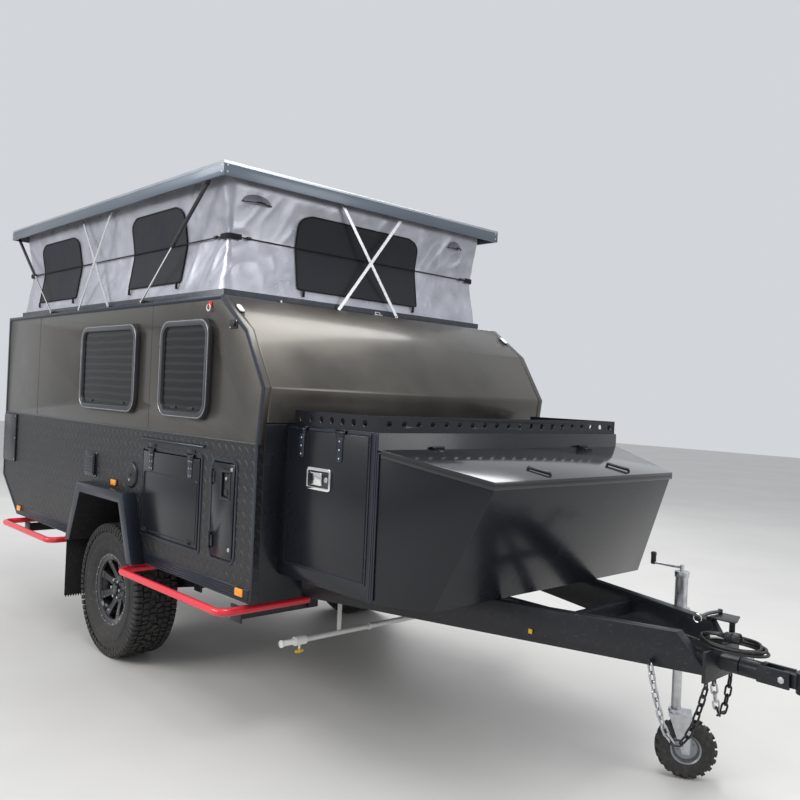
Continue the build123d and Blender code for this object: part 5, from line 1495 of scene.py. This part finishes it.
def buildLockers():
    y = locker["doorY"]
    foot, top = locker["plateHeights"]
    plates, heads = [], []
    for x in locker["plates"]:
        plates.append(facePlate((x - 0.022, foot), (x + 0.022, top), 0.016, y + 0.0005, 0.0042))
        heads.append(rivets([at(x, y - 0.0036, z) for z in locker["rivetHeights"]], 0.0045))
    bodies = ("locker_door_right", "locker_door_left")
    onBoth(join(plates), "lockerHingePlates", "trimNavy", bodies)
    onBoth(join(heads), "lockerRivets", "zinc", bodies)
    (x0, z0), (x1, z1) = locker["latch"]
    frame = faceRing((x0, z0), (x1, z1), 0.016, 0.014, y + 0.0005, 0.010, 0.002)
    pan = facePlate((x0 + 0.008, z0 + 0.008), (x1 - 0.008, z1 - 0.008), 0.010, y + 0.0005, 0.003)
    paddle = facePlate((x0 + 0.024, z0 + 0.022), (x1 - 0.062, z1 - 0.022), 0.008, y - 0.002, 0.008, 0.002)
    lock = lathed([(0.0, 0.004), (0.011, 0.004), (0.013, 0.002), (0.013, -0.002), (0.0, -0.002)],
                  at(x1 - 0.036, y - 0.003, (z0 + z1) / 2), (0, -1, 0), 24)
    onBoth(join([frame, paddle]), "lockerLatch", "polished", bodies)
    onBoth(pan, "lockerLatchPan", "rimBlack", bodies)
    onBoth(lock, "lockerLock", "zinc", bodies)
    # welts on the seam between the two boxes, and the locker's edge trim
    welts = [facePlate((start, locker["weltFoot"]), (end, height), 0.003, locker["edgeY"], 0.0050, 0.0015)
             for start, end, height in locker["welts"]]
    onBoth(join(welts), "lockerWelts", "trimNavy")
    lip = faceRing(*locker["lip"], 0.010, 0.011, locker["edgeY"] - 0.0005, 0.0035)
    for x in locker["plates"]:
        lip = cutOut(lip, addBox(at(x - 0.044, -0.93, 1.470), at(x + 0.044, -0.89, 1.500), 0))
    onBoth(lip, "lockerSurround", "trimNavy")
    bars = [addRod(at(*start), at(*end), locker["rod"], 20, 0.003) for start, end in locker["lidRods"]]
    for spot in [at(*point) for row in locker["lidRods"] for point in row]:
        bars.append(addRod(spot, spot - Vector((0, 0, locker["footLength"])), locker["foot"], 16))
    dress(join(bars), "lidBars", "tool_box_lid", "blackPlastic")
    refined("gallery_rail", "trailer", "blackSheet", "sheet_black", 0.0008, 1)


chains = {  # runs: both ends, drop of the loop below them, bright links at the start; the links after them take a dark finish as painted shade
    "wire": 0.0042, "length": 0.052, "wide": 0.031, "ring": 0.0115, "ringWire": 0.0038,
    "runs": (((3.150, -0.2125, 0.648), (3.3375, -0.118, 0.5850), 0.268, 9),
             ((3.3375, -0.050, 0.5850), (3.3375, 0.092, 0.5850), 0.136, 3))}


def stadiumLink(turn):
    thick, wide = chains["wire"], chains["wide"]
    reach, half = (chains["length"] - wide) / 2, wide / 2 - thick
    points = []
    for side in (1, -1):
        for step in range(9):
            angle = math.radians(-90 + 180 * step / 8)
            points.append(Vector((side * (reach + half * math.cos(angle)), side * half * math.sin(angle), 0)))
    link = addTube(points, thick, closed=True, sides=3, order=2)
    link.data.transform(turn)
    return link


def loopPoint(start, end, drop, share):
    return start.lerp(end, share) - Vector((0, 0, 4 * drop * share * (1 - share)))


def buildChains():
    bright, dark = [], []
    for start, end, drop, brightLinks in chains["runs"]:
        down = Vector((0, 0, chains["ring"] - chains["ringWire"]))
        start, end = at(*start) - down, at(*end) - down
        walked = [loopPoint(start, end, drop, step / 400) for step in range(401)]
        length = sum((b - a).length for a, b in zip(walked, walked[1:]))
        count = round(length / (chains["length"] - 4 * chains["wire"]))
        stops, done = [walked[0]], 0.0
        for a, b in zip(walked, walked[1:]):
            done += (b - a).length
            if done >= length / count * len(stops) - 1e-7:
                stops.append(b)
        print("chain links", count, "pitch", round(length / count, 4))
        side = Vector((0, 0, 1)).cross(end - start).normalized()
        for index, (a, b) in enumerate(zip(stops, stops[1:])):
            along = (b - a).normalized()
            lift = side.cross(along)
            flat = (side + lift if index % 2 else side - lift).normalized()
            turn = Matrix.Translation((a + b) / 2) @ Matrix((along, flat.cross(along), flat)).transposed().to_4x4()
            # the zinc chain's links past the bright ones get the dark finish: painted shade, not a different metal
            (bright if index < brightLinks else dark).append(stadiumLink(turn))
    for parts, name, finish in ((bright, "chainBright", "zinc"), (dark, "chainPaintedShade", "chainBlack")):
        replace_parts(dress(join(parts), name, "trailer", finish), "safety_chains")
    eyes = []
    for spot in [spot for run in chains["runs"] for spot in run[:2]]:
        middle = at(*spot)
        shank = Vector((0, 0, 1)) if spot[2] < 0.6 else Vector((0, 1, 0))
        eyes.append(addTube(circleOf(middle, chains["ring"], (0, 1, 0), (0, 0, 1), 16), chains["ringWire"],
                            closed=True, sides=3))
        root = middle + shank * chains["ring"]
        eyes.append(addRod(root - shank * 0.001, root + shank * 0.008, 0.0046, 20, 0.0005))
        eyes.append(addRod(root + shank * 0.0005, root + shank * 0.0042, 0.0088, 6, 0.0008))
    dress(join(eyes), "chainEyes", "trailer", "chainBlack")


jockey = {
    "wheel": (3.0433, 0.325, 0.135), "turn": 30.0, "lugs": 20, "crown": (0.1245, 0.0),
    # rounds of (radius, y); the lug's section is (y, radius)
    "wall": ((0.0640, 0.028), (0.072, 0.0335), (0.090, 0.0362), (0.106, 0.0355), (0.117, 0.0315), (0.1225, 0.024)),
    "lug": ((0.0015, 0.119), (0.0015, 0.1350), (0.0215, 0.1338), (0.0275, 0.1300), (0.0352, 0.1180), (0.0368, 0.1060),
            (0.0345, 0.1040), (0.030, 0.1120)), "lugHalf": 0.0098, "lugSweep": 0.22,
    "rim": ((0.0085, 0.031), (0.019, 0.031), (0.0195, 0.010), (0.030, 0.0075), (0.050, 0.0085), (0.0575, 0.020),
            (0.0600, 0.0285), (0.0665, 0.0325), (0.0675, 0.0300), (0.0640, 0.0255), (0.0620, 0.010)),
    "boltCircle": 0.038, "boltTurns": (0.4, 1.97, 3.54, 5.11)}


def buildJockeyWheel():
    wall = list(jockey["wall"])
    whole = wall + [jockey["crown"]] + [(r, -y) for r, y in reversed(wall)] + wall[:1]
    parts = [spinRound(whole, 60)]
    half = jockey["lugHalf"]
    for hand in (-1, 1):
        for index in range(jockey["lugs"]):
            swing = (index + (0.5 if hand > 0 else 0.0)) / jockey["lugs"] * math.tau
            lug = addPlate([(-half, hand * w, r) for w, r in jockey["lug"]], (2 * half, 0, 0), 0.0016, 1)
            for vertex in lug.data.vertices:
                vertex.co.x += jockey["lugSweep"] * (abs(vertex.co.y) - 0.015) * hand
            lug.data.transform(Matrix.Rotation(swing, 4, "Y"))
            parts.append(lug)
    side = list(jockey["rim"])
    rim = spinRound(side + [(0.0600, 0.0)] + [(r, -y) for r, y in reversed(side)] + side[:1], 48)
    bolts = []
    for turn in jockey["boltTurns"]:
        x, z = jockey["boltCircle"] * math.cos(turn), jockey["boltCircle"] * math.sin(turn)
        bolts += [addRod((x, hand * 0.0075, z), (x, hand * 0.0125, z), 0.0055, 6, 0.0008) for hand in (-1, 1)]
    place = Matrix.Translation(at(*jockey["wheel"])) @ Matrix.Rotation(math.radians(jockey["turn"]), 4, "Z")
    for piece, name, finish, slot in ((join(parts), "jockeyTyre", "tyreRubber", "tyre"),
                                      (join([rim] + bolts), "jockeyRim", "steelGrey", "zinc")):
        piece.data.transform(place)
        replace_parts(dress(piece, name, "jockey_wheel", finish), "jockey_wheel")


towShells = (  # node, body, finish, slot, edge
    ("jockey_tube", "trailer", "zinc", "zinc", 0.0015),
    ("jockey_leg", "jockey_leg", "zinc", "zinc", 0.0015),
    ("jockey_fork", "jockey_fork", "zinc", "zinc", 0.0015),
    ("coupling_yoke", "coupling_yoke", "frameBlack", "steel_black", 0.0025),
    ("coupling_head", "coupling_head", "frameBlack", "steel_black", 0.0030))
tow = {
    "knob": (2.856, 0.300, 0.9335), "clamp": (3.0, 0.300), "clampRadius": 0.031, "clampWire": 0.0045,
    "clampHeights": (0.704, 0.746), "clampBolts": (
        ((2.962, 0.336, 0.725), (3.040, 0.336, 0.725), 0.006),
        ((3.040, 0.310, 0.725), (3.040, 0.372, 0.725), 0.0042)),
    "nut": (3.590, 0.0415, 0.665), "nutThick": 0.0065, "nutRadius": 0.0135, "nipple": (3.462, 0, 0.7005),
    # plate under the lever: outline (x, y), underside
    "plate": ((3.212, 0.118), (3.332, 0.118), (3.332, 0.146), (3.300, 0.243), (3.226, 0.243)), "plateZ": 0.7895,
    "plateFeet": (((3.306, 0.128, 0.719), (3.330, 0.133, 0.7900)), ((3.206, 0.128, 0.7780), (3.226, 0.178, 0.7900))),
    "lever": ((3.222, 0.232, 0.8005), (3.218, 0.170, 0.8060), (3.226, 0.090, 0.8120), (3.236, 0.030, 0.8140),
              (3.240, -0.012, 0.8140)), "leverWire": 0.0075,
    "pivot": ((3.222, 0.222, 0.7930), (3.222, 0.222, 0.8120)),
    "pull": (3.240, -0.016, 0.8140), "pullRadius": 0.017, "pullWire": 0.0024,
    "tag": ((2.640, 0.664), (2.668, 0.684)), "tagX": 2.654}


def drawbarFace(x):  # outer face of the sloping drawbar rail
    return 0.135 + 0.31 * (3.345 - x) + 0.002


def buildTow():
    for row in towShells:
        refined(*row)
    knob = lathed([(0.0, 0.0), (0.0105, 0.0), (0.0125, 0.004), (0.0115, 0.030), (0.0130, 0.050), (0.010, 0.055),
                   (0.0, 0.055)], at(*tow["knob"]), (0, 0, 1), 24)
    dress(knob, "jockeyKnob", "trailer", "blackPlastic")
    clamp = []
    for z in tow["clampHeights"]:
        loop = circleOf(at(*tow["clamp"], z), tow["clampRadius"], (1, 0, 0), (0, 1, 0), 20)
        clamp.append(addTube(loop, tow["clampWire"], closed=True, sides=3))
    clamp += [addRod(at(*start), at(*end), radius, 16, 0.001) for start, end, radius in tow["clampBolts"]]
    dress(join(clamp), "jockeyClamp", "trailer", "zinc")
    x, y, z = tow["nut"]
    nuts = [addRod(at(x, side * y, z), at(x, side * (y + tow["nutThick"]), z), tow["nutRadius"], 6, 0.0015)
            for side in (-1, 1)]
    dress(join(nuts), "yokeNuts", "coupling_yoke", "zinc")
    nipple = lathed([(0.0, 0.0), (0.005, 0.0), (0.005, 0.006), (0.003, 0.0075), (0.0042, 0.010), (0.0, 0.012)],
                    at(*tow["nipple"]), (0, 0, 1), 16)
    dress(nipple, "yokeNipple", "coupling_yoke", "zinc")
    # handbrake lever with its ring, and the plate it works over
    plate = [addPlate([at(x, y, tow["plateZ"]) for x, y in tow["plate"]], (0, 0, 0.005), 0.001)]
    plate += [addBox(at(*low), at(*high), 0.001) for low, high in tow["plateFeet"]]
    dress(join(plate), "leverPlate", "trailer", "chainBlack")
    lever = addTube([at(*point) for point in tow["lever"]], tow["leverWire"], sides=4)
    foot, top = tow["pivot"]
    lever = join([lever, addRod(at(*foot), at(*top), 0.010, 20, 0.001)])
    dress(lever, "brakeLever", "trailer", "rimBlack")
    ring = circleOf(at(*tow["pull"]), tow["pullRadius"], (1, 0, 0), (0, 0, 1), 20)
    dress(addTube(ring, tow["pullWire"], closed=True, sides=3), "brakeRing", "trailer", "polished")
    tag = facePlate(*tow["tag"], 0.002, -drawbarFace(tow["tagX"]) + 0.0026, 0.0022, 0.0004)
    dress(tag, "drawbarTag", "trailer", "yellowPlastic")


buildLockers()
buildChains()
buildJockeyWheel()
buildTow()
print("front fitted")


# Roof trim, decks, running gear and drain
roof = {
    "top": 2.802, "half": 1.059, "ends": (-1.947, 1.164), "screwIn": 0.022, "screwDown": 0.036,
    "screwSteps": (-0.018, 0.016),
    # section: outwards, upwards from the lid's top edge
    "section": ((0.0006, -0.0015), (0.0006, -0.0125), (-0.006, -0.0135), (-0.006, 0.0012), (-0.0015, 0.0012))}


def buildRoofTrim():
    rear, ahead = roof["ends"]
    half, top = roof["half"], roof["top"]
    outline = [at(ahead, -half, 0), at(ahead, half, 0), at(rear, half, 0), at(rear, -half, 0)]
    strips = []
    for a, b in zip(outline, outline[1:] + outline[:1]):
        along = (b - a).normalized()
        out = along.cross(Vector((0, 0, 1)))
        face = [a + out * u + Vector((0, 0, top + v)) for u, v in roof["section"]]
        strips.append(addPlate(face, b - a))
    dress(join(strips), "roofTrim", "roof", "roofPale")
    heads = []
    for x in roof["ends"]:
        for y in (-half, half):
            corner = at(x, y, top - roof["screwDown"])
            out = Vector((math.copysign(1, x), 0, 0))
            side = Vector((0, math.copysign(1, y), 0))
            for z in roof["screwSteps"]:
                for inwards, way in ((out, side), (side, out)):
                    spot = corner - inwards * roof["screwIn"] + Vector((0, 0, z))
                    heads.append(lathed([(0.0, 0.0016), (0.003, 0.0016), (0.0052, 0.0004), (0.0052, -0.0008),
                                         (0.0, -0.0008)], spot, way, 12))
    dress(join(heads), "roofScrews", "roof", "zinc")


deck = {
    "track": (1.092, 1.110, -0.645, 0.221), "trackHeights": (2.1285, 2.1325, 2.1430), "trackWall": 0.004,
    "catch": ((1.1675, -0.030, 2.1265), (1.1870, 0.030, 2.1320)), "catchWire": 0.0028,
    "catchLoop": ((1.174, -0.018, 2.1300), (1.174, -0.018, 2.1440), (1.174, 0.018, 2.1440), (1.174, 0.018, 2.1300))}


def buildDeckFittings():
    x0, x1, y0, y1 = deck["track"]
    foot, floor, top = deck["trackHeights"]
    wall = deck["trackWall"]
    section = ((x0, foot), (x1, foot), (x1, top), (x1 - wall, top), (x1 - wall, floor), (x0 + wall, floor),
               (x0 + wall, top), (x0, top))
    rail = addPlate([at(x, y0, z) for x, z in section], (0, y1 - y0, 0), 0.0006, 1)
    dress(rail, "slideTrack", "trailer", "blackPlastic")
    stops = [addBox(at(x0 - 0.001, y, foot - 0.0005), at(x1 + 0.001, y + 0.012, top + 0.003), 0.0015)
             for y in (y0, y1 - 0.012)]
    dress(join(stops), "trackStops", "trailer", "zinc")
    low, high = deck["catch"]
    loop = addTube([at(*point) for point in deck["catchLoop"]], deck["catchWire"], sides=3, order=2)
    dress(join([addBox(at(*low), at(*high), 0.0015), loop]), "deckCatch", "trailer", "zinc")


gear = {
    # bellows: x, y, seat and top, lobes; damper rods: both ends (x, z), y, radius
    "bellows": (0.150, 0.690), "bellowsHeights": (0.466, 0.600), "lobes": 3, "waist": 0.038, "bulge": 0.0175,
    "rod": ((0.062, 0.4317), (0.157, 0.5095)), "rodY": 0.625, "rodRadius": 0.0167}


def springBellows(side):
    seat, top = gear["bellowsHeights"]
    profile = [(0.0, seat + 0.001), (0.040, seat + 0.001), (0.041, seat + 0.006)]
    for lobe in range(gear["lobes"]):
        for step in range(9):
            angle = math.pi * step / 8
            share = (lobe + 0.5 - 0.5 * math.cos(angle)) / gear["lobes"]
            profile.append((gear["waist"] + gear["bulge"] * math.sin(angle),
                            seat + 0.008 + (top - seat - 0.016) * share))
    profile += [(0.041, top - 0.006), (0.040, top - 0.001), (0.0, top - 0.001)]
    x, y = gear["bellows"]
    return lathed(profile, at(x, side * y, 0), (0, 0, 1), 36)


def buildRunningGear():
    refined("suspension", "trailer", "frameBlack", "steel_black", 0.0015, 1, "runningGear")
    dress(join([springBellows(side) for side in (-1, 1)]), "airSprings", "trailer", "softRubber")
    (x0, z0), (x1, z1) = gear["rod"]
    rods = [addRod(at(x0, side * gear["rodY"], z0), at(x1, side * gear["rodY"], z1), gear["rodRadius"], 24, 0.001)
            for side in (-1, 1)]
    dress(join(rods), "damperRods", "trailer", "polished")
    for corner in ("front_right", "front_left", "rear_right", "rear_left"):
        refined("leg_" + corner, "leg_" + corner, "frameBlack", "steel_black", 0.002)


drain = {
    "handle": ((1.549, -0.772), (1.561, -0.724)), "handleZ": 0.371, "handleThick": 0.0125,
    "hub": ((1.555, -0.748, 0.370), (1.555, -0.748, 0.390)), "hubRadius": 0.0085,
    "collars": (-0.862, -0.300, 0.098), "collarAt": (1.555, 0.430)}


def buildDrain():
    refined("drain_pipe", "trailer", "whitePlastic", "pipe_white", 0.0015, 1)
    (x0, y0), (x1, y1) = drain["handle"]
    outline = [at(x, y, drain["handleZ"]) for x, y in ((x0, y0), (x1, y0), (x1, y1), (x0, y1))]
    handle = addPlate(outline, (0, 0, drain["handleThick"]), 0.003)
    foot, top = drain["hub"]
    hub = addRod(at(*foot), at(*top), drain["hubRadius"], 24, 0.001)
    dress(join([handle, hub]), "drainHandle", "trailer", "yellowPlastic")
    x, z = drain["collarAt"]
    section = [(0.0135, 0.0), (0.0175, 0.001), (0.0185, 0.006), (0.0175, 0.011), (0.0135, 0.012), (0.0135, 0.0)]
    collars = [lathed(section, at(x, y, z), (0, 1, 0)) for y in drain["collars"]]
    dress(join(collars), "drainCollars", "trailer", "whitePlastic")


buildRoofTrim()
buildDeckFittings()
buildRunningGear()
buildDrain()
print("rest fitted")
